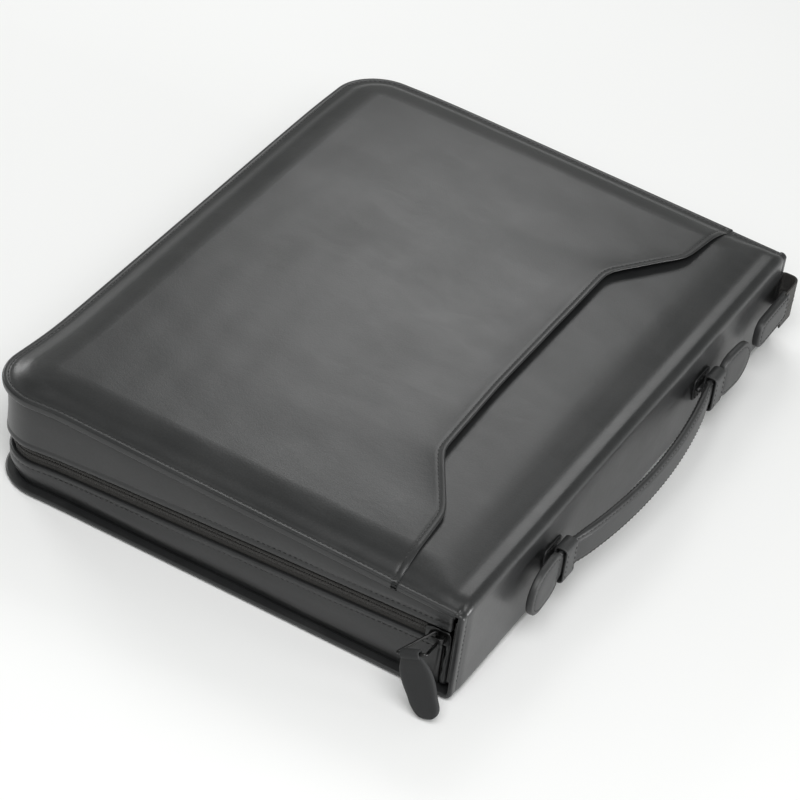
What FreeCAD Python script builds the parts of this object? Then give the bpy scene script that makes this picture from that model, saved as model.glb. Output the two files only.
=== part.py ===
import FreeCAD, Part
import math
import os
from FreeCAD import Placement, Rotation, Vector

# A zip-round leather portfolio case lying on its back, in millimetres.
# X runs along the spine, Y from the spine towards the fore edge, Z up.
# The origin is the centre of the back panel's outer face.

# Overall size
LENGTH = 360.0          # along the spine
WIDTH = 270.0           # spine to fore edge
SPINE_HEIGHT = 58.0     # closed thickness over the spine
FORE_HEIGHT = 66.0      # closed thickness at the fore edge
CORNER_R = 27.0         # rounded fore corners, in plan

# Panels: leather wrapped over a board, with a lining on the inside
SKIN = 1.3              # outer leather
FLANGE = 4.0            # stitched flange round both panels, where the leathers meet
PANEL = 5.2             # back panel, all layers
BACK_FLANGE = 2.8
BACK_BOARD = 2.9
COVER = 6.6             # front cover, all layers
COVER_FLANGE = 3.0
PADDING = 2.4
COVER_BOARD = 1.9
SPINE_BOARD = 2.6
SPINE_PANEL = 5.0       # spine panel, all layers
SPINE_EDGE = 1.6        # leather folded round the spine panel's ends
POCKET_LEATHER = 1.2    # front pocket's panel, on top of the cover

# Folds: a leather roll on each fold line, with the panels cut back round it
FOLD_R = 5.0
FOLD_GAP = 0.4

# Gussets and zip, given as insets from the panels' outline
GUSSET_INSET = 4.0
GUSSET = 1.6
TAPE_INSET = 5.6
TAPE = 0.8
COIL_INSET = 4.4
COIL = 1.2
ZIP_MID_Z = 29.3        # height of the zip line at Y = 0
ZIP_SLOPE = 0.047       # fall of the zip line towards the fore edge
TAPE_SHOWN = 5.0        # tape shown on each side of the zip line
TAPE_REACH = 10.0       # tape's whole width on each side
TAPE_GAP = 0.9
COIL_NEAR = 0.6         # coil, from and to, measured from the zip line
COIL_FAR = 2.6
GUSSET_START = 10.6     # gussets start this far in from the spine's outer face

# Front pocket mouth
MOUTH_END_Y = -97.0     # mouth line at the two short sides
MOUTH_MID_Y = -69.0     # mouth line along the middle
MOUTH_NEAR_X = (-129.0, -90.0)
MOUTH_FAR_X = (97.0, 133.0)
MOUTH_TURN_R = 9.0

# Handle on the spine
HANDLE_X = -3.4
HANDLE_Z = 29.5
BOW = 16.4              # strap's middle, from the spine's face
BOW_R = 330.0
STRAP_WIDTH = 19.0
STRAP = 3.4
STRAP_END = 91.0
STRAP_OUT = 7.3          # strap's ends, from the spine's face
BOW_END = 77.0
KEEPER_X = 83.5
KEEPER_LENGTH = 13.0
PADDLE_LENGTH = 32.0
PADDLE_HEIGHT = 27.0
PADDLE = 3.8
HANDLE_AXIS_OUT = 2.0   # swing axis, from the spine's face

# Zip slider, bail and pull tab
SLIDER_Y = -122.0
SLIDER_LENGTH = 14.0
SLIDER_HEIGHT = 9.0
BAIL_WIRE_R = 0.8
BAIL_INNER = 9.0
BAIL_OUTER = 15.6
PULL_POINT = Vector(-198.6, -118.8, 37.5)
PULL_YAW = 5.5
PULL_LEAN = 20.6
PULL_LENGTH = 38.4
PULL_WIDTH = 18.6
PULL_NECK = 9.6
PULL = 2.8

# Zip tail past the far end of the spine
TAIL_X = 183.2
TAIL_HINGE_Y = -137.0
TAIL_OUT = 8.0           # tail tape, from the spine's face
TAIL_Z = (17.0, 40.5)
TAIL_TAPE = 1.4
TAIL_BEND_R = 4.2
END_TAB = 4.4
END_TAB_X = (130.0, 170.0)
END_TAB_Z = (19.5, 38.0)

# Ring mechanism
RING_X = (-120.0, -40.0, 40.0, 120.0)
RING_Y = -104.0
RING_Z = 18.0
RING_R = 15.0
RING_WIRE_R = 1.5
BLADE_EDGE = 12.4        # blade's hinge line, from the rings' centre line
BLADE_Z = (6.4, 7.4)
HOUSING_HALF = 17.5
HOUSING_RISE = 7.2
HOUSING_LENGTH = 280.0
HOUSING_SHEET = 0.8

# Display sleeves
SLEEVE = 0.6
SLEEVE_X = 152.5
SLEEVE_Y = (-95.5, 124.0)
SLEEVE_Z = 11.0
INSERT_X = 148.5
INSERT_Y = (-76.0, 121.0)
HOLE_R = 3.8
HOLE_OFF = 15.0          # punched holes, from the rings' centre line

HALF_L = LENGTH / 2
HALF_W = WIDTH / 2
FOLD_Y = -HALF_W + FOLD_R
BACK_AXIS_Z = FOLD_R
FRONT_AXIS_Z = SPINE_HEIGHT - FOLD_R
COVER_Z = SPINE_HEIGHT - COVER
TRAY = FLANGE + SKIN
TILT = math.degrees(math.atan2(FORE_HEIGHT - SPINE_HEIGHT - POCKET_LEATHER, WIDTH))
ZIP_ANGLE = math.degrees(math.atan(ZIP_SLOPE))
GUSSET_Y = -HALF_W + GUSSET_START
X_AXIS = Vector(1, 0, 0)
FAR_AWAY = 400.0


def block(x0, x1, y0, y1, z0, z1):
    return Part.makeBox(x1 - x0, y1 - y0, z1 - z0, Vector(x0, y0, z0))


def save(name, *solids):
    shape = solids[0] if len(solids) == 1 else Part.makeCompound(list(solids))
    shape.exportStep("parts/" + name + ".step")


def panel(inset, z0, z1, y_start):
    """Flat panel with the case's outline, drawn in from it by an inset."""
    x = HALF_L - inset
    y = HALF_W - inset
    r = CORNER_R - inset
    slant = r * math.sqrt(0.5)
    near_mid = Vector(-x + r - slant, y - r + slant, z0)
    far_mid = Vector(x - r + slant, y - r + slant, z0)
    edges = [
        Part.LineSegment(Vector(-x, y_start, z0), Vector(-x, y - r, z0)).toShape(),
        Part.Arc(Vector(-x, y - r, z0), near_mid, Vector(-x + r, y, z0)).toShape(),
        Part.LineSegment(Vector(-x + r, y, z0), Vector(x - r, y, z0)).toShape(),
        Part.Arc(Vector(x - r, y, z0), far_mid, Vector(x, y - r, z0)).toShape(),
        Part.LineSegment(Vector(x, y - r, z0), Vector(x, y_start, z0)).toShape(),
        Part.LineSegment(Vector(x, y_start, z0), Vector(-x, y_start, z0)).toShape(),
    ]
    return Part.Face(Part.Wire(edges)).extrude(Vector(0, 0, z1 - z0))


def wall(inset, thickness, z0, z1, y_start):
    """Upright wall on three sides of the case, open towards the spine."""
    outer = panel(inset, z0, z1, y_start)
    return outer.cut(panel(inset + thickness, z0 - 1, z1 + 1, y_start - 10))


def across(points):
    """Prism along X with the given (y, z) corners, longer than the case."""
    corners = [Vector(-FAR_AWAY, y, z) for y, z in points]
    face = Part.Face(Part.makePolygon(corners + corners[:1]))
    return face.extrude(Vector(2 * FAR_AWAY, 0, 0))


def zip_z(y):
    return ZIP_MID_Z - ZIP_SLOPE * y


def zip_band(low, high):
    """Space between two planes parallel to the zip line."""
    near, far = -FAR_AWAY, FAR_AWAY
    return across([
        (near, zip_z(near) + low),
        (far, zip_z(far) + low),
        (far, zip_z(far) + high),
        (near, zip_z(near) + high),
    ])


def tilted(shape):
    """Turns a piece of the front cover up to the case's wedge angle."""
    turned = shape.copy()
    turned.rotate(Vector(0, FOLD_Y, FRONT_AXIS_Z), X_AXIS, TILT)
    return turned


def fold_space(axis_z):
    start = Vector(-FAR_AWAY, FOLD_Y, axis_z)
    return Part.makeCylinder(FOLD_R + FOLD_GAP, 2 * FAR_AWAY, start, X_AXIS)


def fold_roll(axis_z):
    start = Vector(-HALF_L, FOLD_Y, axis_z)
    return Part.makeCylinder(FOLD_R, LENGTH, start, X_AXIS)


def back_panel():
    space = fold_space(BACK_AXIS_Z)
    outer = panel(0, 0, BACK_FLANGE, FOLD_Y).fuse(panel(FLANGE, 0, PANEL, FOLD_Y))
    tray = outer.removeSplitter().cut(panel(TRAY, SKIN, PANEL + 1, FOLD_Y - 10))
    board_top = SKIN + BACK_BOARD
    save("back_leather", tray.cut(space))
    save("back_board", panel(TRAY, SKIN, board_top, FOLD_Y).cut(space))
    save("back_lining", panel(TRAY, board_top, PANEL, FOLD_Y).cut(space))
    save("back_pocket", block(-165, 165, -62, 116, PANEL, PANEL + 1.2))
    save("bottom_fold", fold_roll(BACK_AXIS_Z))


def lower_gusset():
    below = zip_band(-FAR_AWAY, -TAPE_SHOWN)
    leather = wall(GUSSET_INSET, GUSSET, PANEL, FORE_HEIGHT, GUSSET_Y)
    lining = wall(TAPE_INSET, TAPE, PANEL, FORE_HEIGHT, GUSSET_Y)
    save("lower_gusset", leather.common(below))
    save("lower_gusset_lining", lining.common(zip_band(-FAR_AWAY, -TAPE_REACH)))
    tape = wall(TAPE_INSET, TAPE, PANEL, FORE_HEIGHT, GUSSET_Y)
    save("lower_zip_tape", tape.common(zip_band(-TAPE_REACH, -TAPE_GAP)))
    coil = wall(COIL_INSET, COIL, PANEL, FORE_HEIGHT, GUSSET_Y + 3)
    save("lower_zip_coil", coil.common(zip_band(-COIL_FAR, -COIL_NEAR)))


def zip_stops():
    """A crimped metal stop at each end of the lower row of coil."""
    stops = []
    for side in (-1, 1):
        x = side * (HALF_L - COIL_INSET - COIL / 2)
        stop = block(x - COIL / 2, x + COIL / 2, GUSSET_Y, GUSSET_Y + 2.6, 0, FORE_HEIGHT)
        stops.append(stop.common(zip_band(-COIL_FAR - 0.4, -COIL_NEAR)))
    save("zip_stops", *stops)


def gusset_ends():
    """Folded ends of the gusset leather, tucked in beside the spine."""
    bottom = BACK_AXIS_Z + FOLD_R + FOLD_GAP + 0.4
    top = 30.0
    for name, side in (("near_gusset_end", -1), ("far_gusset_end", 1)):
        centre = Vector(side * (HALF_L - GUSSET_INSET - 2.4), FOLD_Y + 2.9, bottom)
        outer = Part.makeCylinder(2.4, top - bottom, centre)
        inner = Part.makeCylinder(1.2, top - bottom, centre)
        save(name, outer.cut(inner))


def ring_housing():
    """Arched sheet-steel housing with a slot for each half ring."""
    base = PANEL
    left = Vector(-HOUSING_LENGTH / 2, RING_Y - HOUSING_HALF, base)
    top = Vector(-HOUSING_LENGTH / 2, RING_Y, base + HOUSING_RISE)
    right = Vector(-HOUSING_LENGTH / 2, RING_Y + HOUSING_HALF, base)
    sheet = Vector(0, HOUSING_SHEET, 0)
    low = Vector(0, 0, HOUSING_SHEET)
    outer = Part.Wire([Part.Arc(left, top, right).toShape(), Part.makeLine(right, left)])
    inner_arc = Part.Arc(left + sheet, top - low, right - sheet).toShape()
    inner = Part.Wire([inner_arc, Part.makeLine(right - sheet, left + sheet)])
    along = Vector(HOUSING_LENGTH, 0, 0)
    shell = Part.Face(outer).extrude(along).cut(Part.Face(inner).extrude(along))
    for x in RING_X:
        for side in (-1, 1):
            y0, y1 = sorted((RING_Y + side * 8.6, RING_Y + side * 16.2))
            shell = shell.cut(block(x - 2.2, x + 2.2, y0, y1, base + 1.2, base + 12))
    return shell


def half_rings(side):
    """One blade with its half rings: side -1 towards the spine, +1 away from it."""
    y0, y1 = sorted((RING_Y + side * 0.3, RING_Y + side * BLADE_EDGE))
    solid = block(-136, 136, y0, y1, BLADE_Z[0], BLADE_Z[1])
    low, high = BLADE_Z
    hinge = Vector(-136, RING_Y + side * BLADE_EDGE, (low + high) / 2)
    solid = solid.fuse(Part.makeCylinder((high - low) / 2, 272, hinge, X_AXIS))
    sweep = 90 + math.degrees(math.asin((RING_Z - BLADE_Z[1] + 0.3) / RING_R))
    start_gap = 0.9
    for x in RING_X:
        centre = Vector(x, RING_Y, RING_Z)
        disc = Part.Face(Part.Wire(Part.makeCircle(
            RING_WIRE_R, centre + Vector(0, 0, RING_R), Vector(0, 1, 0))))
        disc.rotate(centre, X_AXIS, -side * start_gap)
        solid = solid.fuse(disc.revolve(centre, X_AXIS, -side * (sweep - start_gap)))
    return solid.removeSplitter()


def ring_levers():
    """Opening levers at the two ends of the mechanism."""
    for name, side in (("ring_lever_near", -1), ("ring_lever_far", 1)):
        inner = side * (HOUSING_LENGTH / 2 + 1.6)
        outer = side * (HOUSING_LENGTH / 2 + 3.2)
        lip = side * (HOUSING_LENGTH / 2 + 8.4)
        x0, x1 = sorted((inner, outer))
        arm = block(x0, x1, RING_Y - 7, RING_Y + 7, 6.6, 20)
        pivot = Vector((inner + outer) / 2, RING_Y - 7, 8.2)
        arm = arm.fuse(Part.makeCylinder(1.2, 14, pivot, Vector(0, 1, 0)))
        x0, x1 = sorted((outer, lip))
        save(name, arm.fuse(block(x0, x1, RING_Y - 7, RING_Y + 7, 18.4, 20)).removeSplitter())


def ring_mechanism():
    housing = ring_housing()
    rivets = []
    for x in (-80.0, 80.0):
        shank = Part.makeCylinder(2.0, HOUSING_RISE + 0.6, Vector(x, RING_Y, PANEL))
        top = Vector(x, RING_Y, PANEL + HOUSING_RISE + 0.2)
        housing = housing.cut(Part.makeCylinder(2.0, 20, Vector(x, RING_Y, PANEL)))
        rivets.append(shank.fuse(Part.makeCylinder(3.6, 0.9, top)).removeSplitter())
    save("ring_housing", housing)
    save("ring_rivets", *rivets)
    relief = [Part.makeCylinder(3.0, 30, Vector(x, RING_Y, 0)) for x in (-80.0, 80.0)]
    save("ring_blade_a", half_rings(-1).cut(Part.makeCompound(relief)))
    save("ring_blade_b", half_rings(1).cut(Part.makeCompound(relief)))
    ring_levers()


def pages():
    """Three clear sleeves on the rings, with two card inserts between them."""
    sleeves = []
    inserts = []
    holes = [Part.makeCylinder(HOLE_R, 40, Vector(x, RING_Y + HOLE_OFF, 0)) for x in RING_X]
    for i in range(3):
        z = SLEEVE_Z + 2 * i * SLEEVE
        sheet = block(-SLEEVE_X, SLEEVE_X, SLEEVE_Y[0], SLEEVE_Y[1], z, z + SLEEVE)
        sleeves.append(sheet.cut(Part.makeCompound(holes)))
    for i in range(2):
        z = SLEEVE_Z + (2 * i + 1) * SLEEVE
        inserts.append(block(-INSERT_X, INSERT_X, INSERT_Y[0], INSERT_Y[1], z, z + SLEEVE))
    save("display_sleeves", *sleeves)
    save("insert_cards", *inserts)


def spine():
    outer = -HALF_W
    inner = outer + SPINE_PANEL
    spaces = fold_space(BACK_AXIS_Z).fuse(fold_space(FRONT_AXIS_Z))
    z0, z1 = BACK_AXIS_Z, FRONT_AXIS_Z
    x = HALF_L - SPINE_EDGE
    board_y = outer + SKIN
    lining_y = board_y + SPINE_BOARD
    sheet = block(-HALF_L, HALF_L, outer, inner, z0, z1)
    tray = sheet.cut(block(-x, x, board_y, inner + 1, z0 - 1, z1 + 1))
    save("spine_leather", tray.cut(spaces))
    save("spine_board", block(-x, x, board_y, lining_y, z0, z1).cut(spaces))
    save("spine_lining", block(-x, x, lining_y, inner, z0, z1).cut(spaces))
    save("top_fold", fold_roll(FRONT_AXIS_Z))


def strap():
    """Bowed strap: an arc between the keepers and a straight end through each."""
    centre_y = -HALF_W - BOW + BOW_R
    half = STRAP / 2
    low = HANDLE_Z - STRAP_WIDTH / 2
    sides = []
    for r in (BOW_R + half, BOW_R - half):
        drop = math.sqrt(r * r - BOW_END * BOW_END)
        ends = [Vector(HANDLE_X + s * BOW_END, centre_y - drop, low) for s in (-1, 1)]
        sides.append((ends[0], Vector(HANDLE_X, centre_y - r, low), ends[1]))
    out, back = sides
    wire = Part.Wire([
        Part.Arc(*out).toShape(),
        Part.makeLine(out[2], back[2]),
        Part.Arc(*reversed(back)).toShape(),
        Part.makeLine(back[0], out[0]),
    ])
    solid = Part.Face(wire).extrude(Vector(0, 0, STRAP_WIDTH))
    arcs = [e for e in solid.Edges if e.Length > 2 * BOW_END - 1]
    solid = solid.makeFillet(1.2, arcs)
    y = -HALF_W - STRAP_OUT
    high = low + STRAP_WIDTH
    for side in (-1, 1):
        x0, x1 = sorted((HANDLE_X + side * (BOW_END - 1), HANDLE_X + side * STRAP_END))
        solid = solid.fuse(block(x0, x1, y - half, y + half, low + 0.3, high - 0.3))
    return solid.removeSplitter()


def paddle(side):
    """Rounded end of the handle, leaning a little away from the spine."""
    r = PADDLE_HEIGHT / 2
    flat = PADDLE_LENGTH - r
    slab = block(0, flat, -PADDLE / 2, PADDLE / 2, -r, r)
    cap = Part.makeCylinder(r, PADDLE, Vector(flat, -PADDLE / 2, 0), Vector(0, 1, 0))
    solid = slab.fuse(cap).removeSplitter()
    rims = [e for e in solid.Edges if abs(abs(e.CenterOfMass.y) - PADDLE / 2) < 0.01]
    rims = [e for e in rims if e.CenterOfMass.x > 0.01]
    solid = solid.makeFillet(1.0, rims)
    lean = 3.2
    if side < 0:
        solid.rotate(Vector(0, 0, 0), Vector(0, 0, 1), 180)
    solid.rotate(Vector(0, 0, 0), Vector(0, 0, 1), -side * lean)
    start = STRAP_END + 0.25
    solid.translate(Vector(HANDLE_X + side * start, -HALF_W - STRAP_OUT, HANDLE_Z))
    return solid


def keeper(side):
    """Leather loop round the strap, on a narrow root at the spine."""
    x0 = HANDLE_X + side * KEEPER_X - KEEPER_LENGTH / 2
    x1 = x0 + KEEPER_LENGTH
    y_mid = -HALF_W - STRAP_OUT
    hole_y = STRAP / 2 + 0.9
    hole_z = STRAP_WIDTH / 2 + 0.4
    loop = block(x0, x1, y_mid - hole_y - 1.2, y_mid + hole_y + 1.2,
                 HANDLE_Z - hole_z - 1.2, HANDLE_Z + hole_z + 1.2)
    long_edges = [e for e in loop.Edges if abs(e.Length - KEEPER_LENGTH) < 0.01]
    loop = loop.makeFillet(1.0, long_edges)
    loop = loop.cut(block(x0 - 1, x1 + 1, y_mid - hole_y, y_mid + hole_y,
                          HANDLE_Z - hole_z, HANDLE_Z + hole_z))
    axis_y = -HALF_W - HANDLE_AXIS_OUT
    root = block(x0, x1, y_mid + hole_y + 0.2, axis_y, HANDLE_Z - 0.9, HANDLE_Z + 0.9)
    bead = Part.makeCylinder(0.9, KEEPER_LENGTH, Vector(x0, axis_y, HANDLE_Z), X_AXIS)
    return loop.fuse(root).fuse(bead).removeSplitter()


def handle():
    save("handle_strap", strap())
    save("near_paddle", paddle(-1))
    save("far_paddle", paddle(1))
    save("near_keeper", keeper(-1))
    save("far_keeper", keeper(1))
    patches = []
    for side in (-1, 1):
        x = HANDLE_X + side * KEEPER_X
        patches.append(block(x - 9, x + 9, -HALF_W - 0.8, -HALF_W, HANDLE_Z - 7, HANDLE_Z + 7))
    save("keeper_patches", *patches)


def zip_tail():
    """Closed end of the zip: it turns round the spine's end and lies along it."""
    z0, z1 = TAIL_Z
    half = TAIL_TAPE / 2
    r = TAIL_BEND_R
    bend_y = -HALF_W - TAIL_OUT + r
    anchor = block(HALF_L, TAIL_X + half, -HALF_W + 1.2, -HALF_W + 2.6, z0, z1)
    foot = block(TAIL_X - half, TAIL_X + half, TAIL_HINGE_Y + 1.4, -HALF_W + 2.6, z0, z1)
    save("tail_anchor", anchor.fuse(foot).removeSplitter())
    height = z1 - z0
    roll = Part.makeCylinder(1.0, height, Vector(TAIL_X, TAIL_HINGE_Y, z0))
    start = block(TAIL_X - half, TAIL_X + half, bend_y, TAIL_HINGE_Y, z0, z1)
    corner = Vector(TAIL_X - r, bend_y, z0)
    ring = Part.makeCylinder(r + half, height, corner)
    ring = ring.cut(Part.makeCylinder(r - half, height, corner))
    quarter = block(corner.x, corner.x + 9, corner.y - 9, corner.y, z0, z1)
    run_y = bend_y - r
    run = block(END_TAB_X[1], corner.x, run_y - half, run_y + half, z0, z1)
    tape = start.fuse(ring.common(quarter)).fuse(run).fuse(roll).removeSplitter()
    save("tail_tape", tape)
    r_tab = 7.5
    x0, x1 = END_TAB_X
    low, high = END_TAB_Z
    slab = block(x0, x1, run_y - END_TAB / 2, run_y + END_TAB / 2, low, high)
    uprights = [e for e in slab.Edges if abs(e.CenterOfMass.x - x0) < 0.01]
    uprights = [e for e in uprights if abs(e.Length - END_TAB) < 0.01]
    tab = slab.makeFillet(r_tab, uprights)
    tab.rotate(Vector(x1, run_y, 0), Vector(0, 0, 1), 3.6)
    save("tail_end_tab", tab.cut(tape))


def pocket_panel():
    """Front pocket: the second leather over the cover, with a shaped mouth."""
    full = panel(FLANGE, SPINE_HEIGHT, SPINE_HEIGHT + POCKET_LEATHER, MOUTH_END_Y)
    z = SPINE_HEIGHT - 1
    corners = [
        (MOUTH_NEAR_X[0], MOUTH_END_Y - 1),
        (MOUTH_NEAR_X[0], MOUTH_END_Y),
        (MOUTH_NEAR_X[1], MOUTH_MID_Y),
        (MOUTH_FAR_X[0], MOUTH_MID_Y),
        (MOUTH_FAR_X[1], MOUTH_END_Y),
        (MOUTH_FAR_X[1], MOUTH_END_Y - 1),
    ]
    points = [Vector(x, y, z) for x, y in corners]
    bite = Part.Face(Part.makePolygon(points + points[:1])).extrude(Vector(0, 0, 5))
    flap = full.cut(bite)
    uprights = [e for e in flap.Edges if abs(e.Length - POCKET_LEATHER) < 0.01]
    turns = [e for e in uprights if abs(e.CenterOfMass.x) < HALF_L - 5]
    turns = [e for e in turns if e.CenterOfMass.y < MOUTH_MID_Y + 1]
    return flap.makeFillet(MOUTH_TURN_R, turns)


def front_cover():
    space = fold_space(FRONT_AXIS_Z)
    top = SPINE_HEIGHT - SKIN
    padding_low = top - PADDING
    board_low = padding_low - COVER_BOARD
    flange = panel(0, COVER_Z, COVER_Z + COVER_FLANGE, FOLD_Y)
    outer = flange.fuse(panel(FLANGE, COVER_Z, SPINE_HEIGHT, FOLD_Y)).removeSplitter()
    tray = outer.cut(panel(TRAY, COVER_Z - 1, top, FOLD_Y - 10))
    save("front_leather", tilted(tray.cut(space)))
    save("front_padding", tilted(panel(TRAY, padding_low, top, FOLD_Y).cut(space)))
    save("front_board", tilted(panel(TRAY, board_low, padding_low, FOLD_Y).cut(space)))
    save("front_lining", tilted(panel(TRAY, COVER_Z, board_low, FOLD_Y).cut(space)))
    save("front_pocket", tilted(pocket_panel()))


def upper_gusset():
    under = tilted(across([(-FAR_AWAY, -FAR_AWAY), (FAR_AWAY, -FAR_AWAY),
                           (FAR_AWAY, COVER_Z), (-FAR_AWAY, COVER_Z)]))
    low = 20.0
    leather = wall(GUSSET_INSET, GUSSET, low, FORE_HEIGHT, GUSSET_Y).common(under)
    inner = wall(TAPE_INSET, TAPE, low, FORE_HEIGHT, GUSSET_Y).common(under)
    coil = wall(COIL_INSET, COIL, low, FORE_HEIGHT, GUSSET_Y + 3)
    save("upper_gusset", leather.common(zip_band(TAPE_SHOWN, FAR_AWAY)))
    save("upper_gusset_lining", inner.common(zip_band(TAPE_REACH, FAR_AWAY)))
    save("upper_zip_tape", inner.common(zip_band(TAPE_GAP, TAPE_REACH)))
    save("upper_zip_coil", coil.common(zip_band(COIL_NEAR, COIL_FAR)))


def organizer():
    """Slip pocket, card pockets and pen loop inside the front cover."""
    top = COVER_Z
    save("organizer_panel", tilted(block(-165, 140, -92, 116, top - 1.2, top)))
    cards = []
    for i in range(3):
        y0 = -60.0 + 26.0 * i
        drop = 1.2 + 0.8 * (3 - i)
        cards.append(tilted(block(-150, -45, y0, y0 + 26.0, top - drop, top - 1.2)))
    save("card_pockets", *cards)
    loop_z = top - 6.2
    outer = Part.makeCylinder(6.2, 34, Vector(156, 10, loop_z), Vector(0, 1, 0))
    inner = Part.makeCylinder(5.2, 34, Vector(156, 10, loop_z), Vector(0, 1, 0))
    save("pen_loop", tilted(outer.cut(inner)))


def zip_slider():
    """Slider: an outer and an inner plate on a thin post, with a bridge for the bail."""
    half_h = SLIDER_HEIGHT / 2
    half_l = SLIDER_LENGTH / 2
    outside = -HALF_L + 3.6
    inside = -HALF_L + TAPE_INSET + TAPE + 0.4
    outer = block(outside - 1.6, outside, -half_l, half_l, -half_h, half_h)
    inner = block(inside, inside + 1.2, -half_l, half_l, -half_h, half_h)
    post = block(outside, inside, -half_l, -half_l + 5, -0.25, 0.25)
    crown = outside - 1.6
    bridge = block(crown - 3.9, crown, -4.6, 4.6, -1.6, 1.6)
    bridge = bridge.cut(block(crown - 2.7, crown, -3.4, 3.4, -3, 3))
    solid = outer.fuse(inner).fuse(post).fuse(bridge).removeSplitter()
    solid.rotate(Vector(0, 0, 0), X_AXIS, -ZIP_ANGLE)
    solid.translate(Vector(0, SLIDER_Y, zip_z(SLIDER_Y)))
    save("zip_slider", solid)


def pull_turn():
    """Pull tab's own axes: x along the bail's bar, z up the tab."""
    return Rotation(Vector(0, 0, 1), -90 + PULL_YAW).multiply(
        Rotation(Vector(0, 1, 0), -PULL_LEAN))


def rod(a, b, r):
    return Part.makeCylinder(r, (b - a).Length, a, b - a)


def pull_bail():
    """Wire link, twisted so that its outer bar lies across and the tab hangs down."""
    hinge_x = -HALF_L + 3.6 - 1.6 - 1.35
    middle = Vector(hinge_x, SLIDER_Y, zip_z(SLIDER_Y))
    up = Vector(0, math.sin(math.radians(ZIP_ANGLE)), math.cos(math.radians(ZIP_ANGLE)))
    bar = pull_turn().multVec(X_AXIS)
    top = middle + up * (BAIL_INNER / 2)
    bottom = middle - up * (BAIL_INNER / 2)
    left = PULL_POINT - bar * (BAIL_OUTER / 2)
    right = PULL_POINT + bar * (BAIL_OUTER / 2)
    runs = [(bottom, top), (top, left), (left, right), (right, bottom)]
    solid = Part.makeSphere(BAIL_WIRE_R, top)
    for corner in (bottom, left, right):
        solid = solid.fuse(Part.makeSphere(BAIL_WIRE_R, corner))
    for a, b in runs:
        solid = solid.fuse(rod(a, b, BAIL_WIRE_R))
    save("pull_bail", solid)


def pull_tab():
    """Folded leather tab: a rolled head on the bail's bar and a rounded blade."""
    half = PULL_WIDTH / 2
    neck = PULL_NECK / 2
    head_r = 2.5
    tip = -PULL_LENGTH
    round_z = tip + half
    shoulder = -14.0
    outline = Part.Wire([
        Part.makeLine(Vector(-neck, 0, 0), Vector(neck, 0, 0)),
        Part.makeLine(Vector(neck, 0, 0), Vector(half, 0, shoulder)),
        Part.makeLine(Vector(half, 0, shoulder), Vector(half, 0, round_z)),
        Part.Arc(Vector(half, 0, round_z), Vector(0, 0, tip), Vector(-half, 0, round_z)).toShape(),
        Part.makeLine(Vector(-half, 0, round_z), Vector(-half, 0, shoulder)),
        Part.makeLine(Vector(-half, 0, shoulder), Vector(-neck, 0, 0)),
    ])
    blade = Part.Face(outline).extrude(Vector(0, PULL, 0))
    blade.translate(Vector(0, -PULL / 2, 0))
    start = Vector(-neck, 0, 0)
    solid = blade.fuse(Part.makeCylinder(head_r, PULL_NECK, start, X_AXIS))
    solid = solid.cut(Part.makeCylinder(1.25, 2 * PULL_NECK, start - Vector(neck, 0, 0), X_AXIS))
    solid = solid.removeSplitter()
    solid.Placement = Placement(PULL_POINT, pull_turn())
    save("pull_tab", solid)


os.makedirs("parts", exist_ok=True)
back_panel()
lower_gusset()
zip_stops()
gusset_ends()
ring_mechanism()
pages()
spine()
handle()
zip_tail()
front_cover()
upper_gusset()
organizer()
zip_slider()
pull_bail()
pull_tab()
print("cover tilt, degrees:", round(TILT, 3), "zip line, degrees:", round(ZIP_ANGLE, 3))
print("bail bar direction:", pull_turn().multVec(X_AXIS))
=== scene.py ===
import math

import bmesh
import bpy
import numpy as np
from mathutils import Matrix, Quaternion, Vector


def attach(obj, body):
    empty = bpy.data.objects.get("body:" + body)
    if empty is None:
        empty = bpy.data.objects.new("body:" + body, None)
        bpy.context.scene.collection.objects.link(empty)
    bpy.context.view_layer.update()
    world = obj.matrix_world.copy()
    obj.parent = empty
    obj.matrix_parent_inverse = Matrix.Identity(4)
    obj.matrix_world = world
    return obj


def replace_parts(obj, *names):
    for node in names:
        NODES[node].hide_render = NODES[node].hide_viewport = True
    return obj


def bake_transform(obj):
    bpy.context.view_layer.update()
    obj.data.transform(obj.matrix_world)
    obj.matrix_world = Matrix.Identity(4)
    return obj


# Looks of the zip-round leather portfolio case. Shapes are worked out in
# millimetres in the CAD frame and written to Blender in metres.

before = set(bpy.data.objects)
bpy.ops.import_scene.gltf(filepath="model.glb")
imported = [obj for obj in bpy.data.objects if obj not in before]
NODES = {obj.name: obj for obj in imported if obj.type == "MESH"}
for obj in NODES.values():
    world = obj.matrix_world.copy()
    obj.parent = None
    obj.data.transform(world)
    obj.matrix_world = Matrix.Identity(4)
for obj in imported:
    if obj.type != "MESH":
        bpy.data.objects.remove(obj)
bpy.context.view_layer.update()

# ---------------------------------------------------------------- sizes, mm
HALF_L, HALF_W = 180.0, 135.0
CORNER_R = 27.0
SPINE_HEIGHT, FORE_HEIGHT, POCKET_LEATHER = 58.0, 66.0, 1.2
PANEL, COVER = 5.2, 6.6
FOLD_R = 5.0
FOLD_Y = -HALF_W + FOLD_R
BACK_AXIS_Z, FRONT_AXIS_Z = FOLD_R, SPINE_HEIGHT - FOLD_R
COVER_Z = SPINE_HEIGHT - COVER
TILT = math.atan2(FORE_HEIGHT - SPINE_HEIGHT - POCKET_LEATHER, 2 * HALF_W)
ZIP_MID_Z, ZIP_SLOPE = 29.3, 0.047
GUSSET_Y = -124.4
SEAM_Z = 12.0            # where the back's leather meets the spine's
INSIDE = 30.0            # stands for "well inside the outline" as an inset
FOLD_END = -124.6        # y where the flat boards stop, clear of the folds
LINING_END = -124.4


def smooth(a, b, v):
    t = np.clip((np.asarray(v, float) - a) / (b - a), 0, 1)
    return t * t * (3 - 2 * t)


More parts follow.
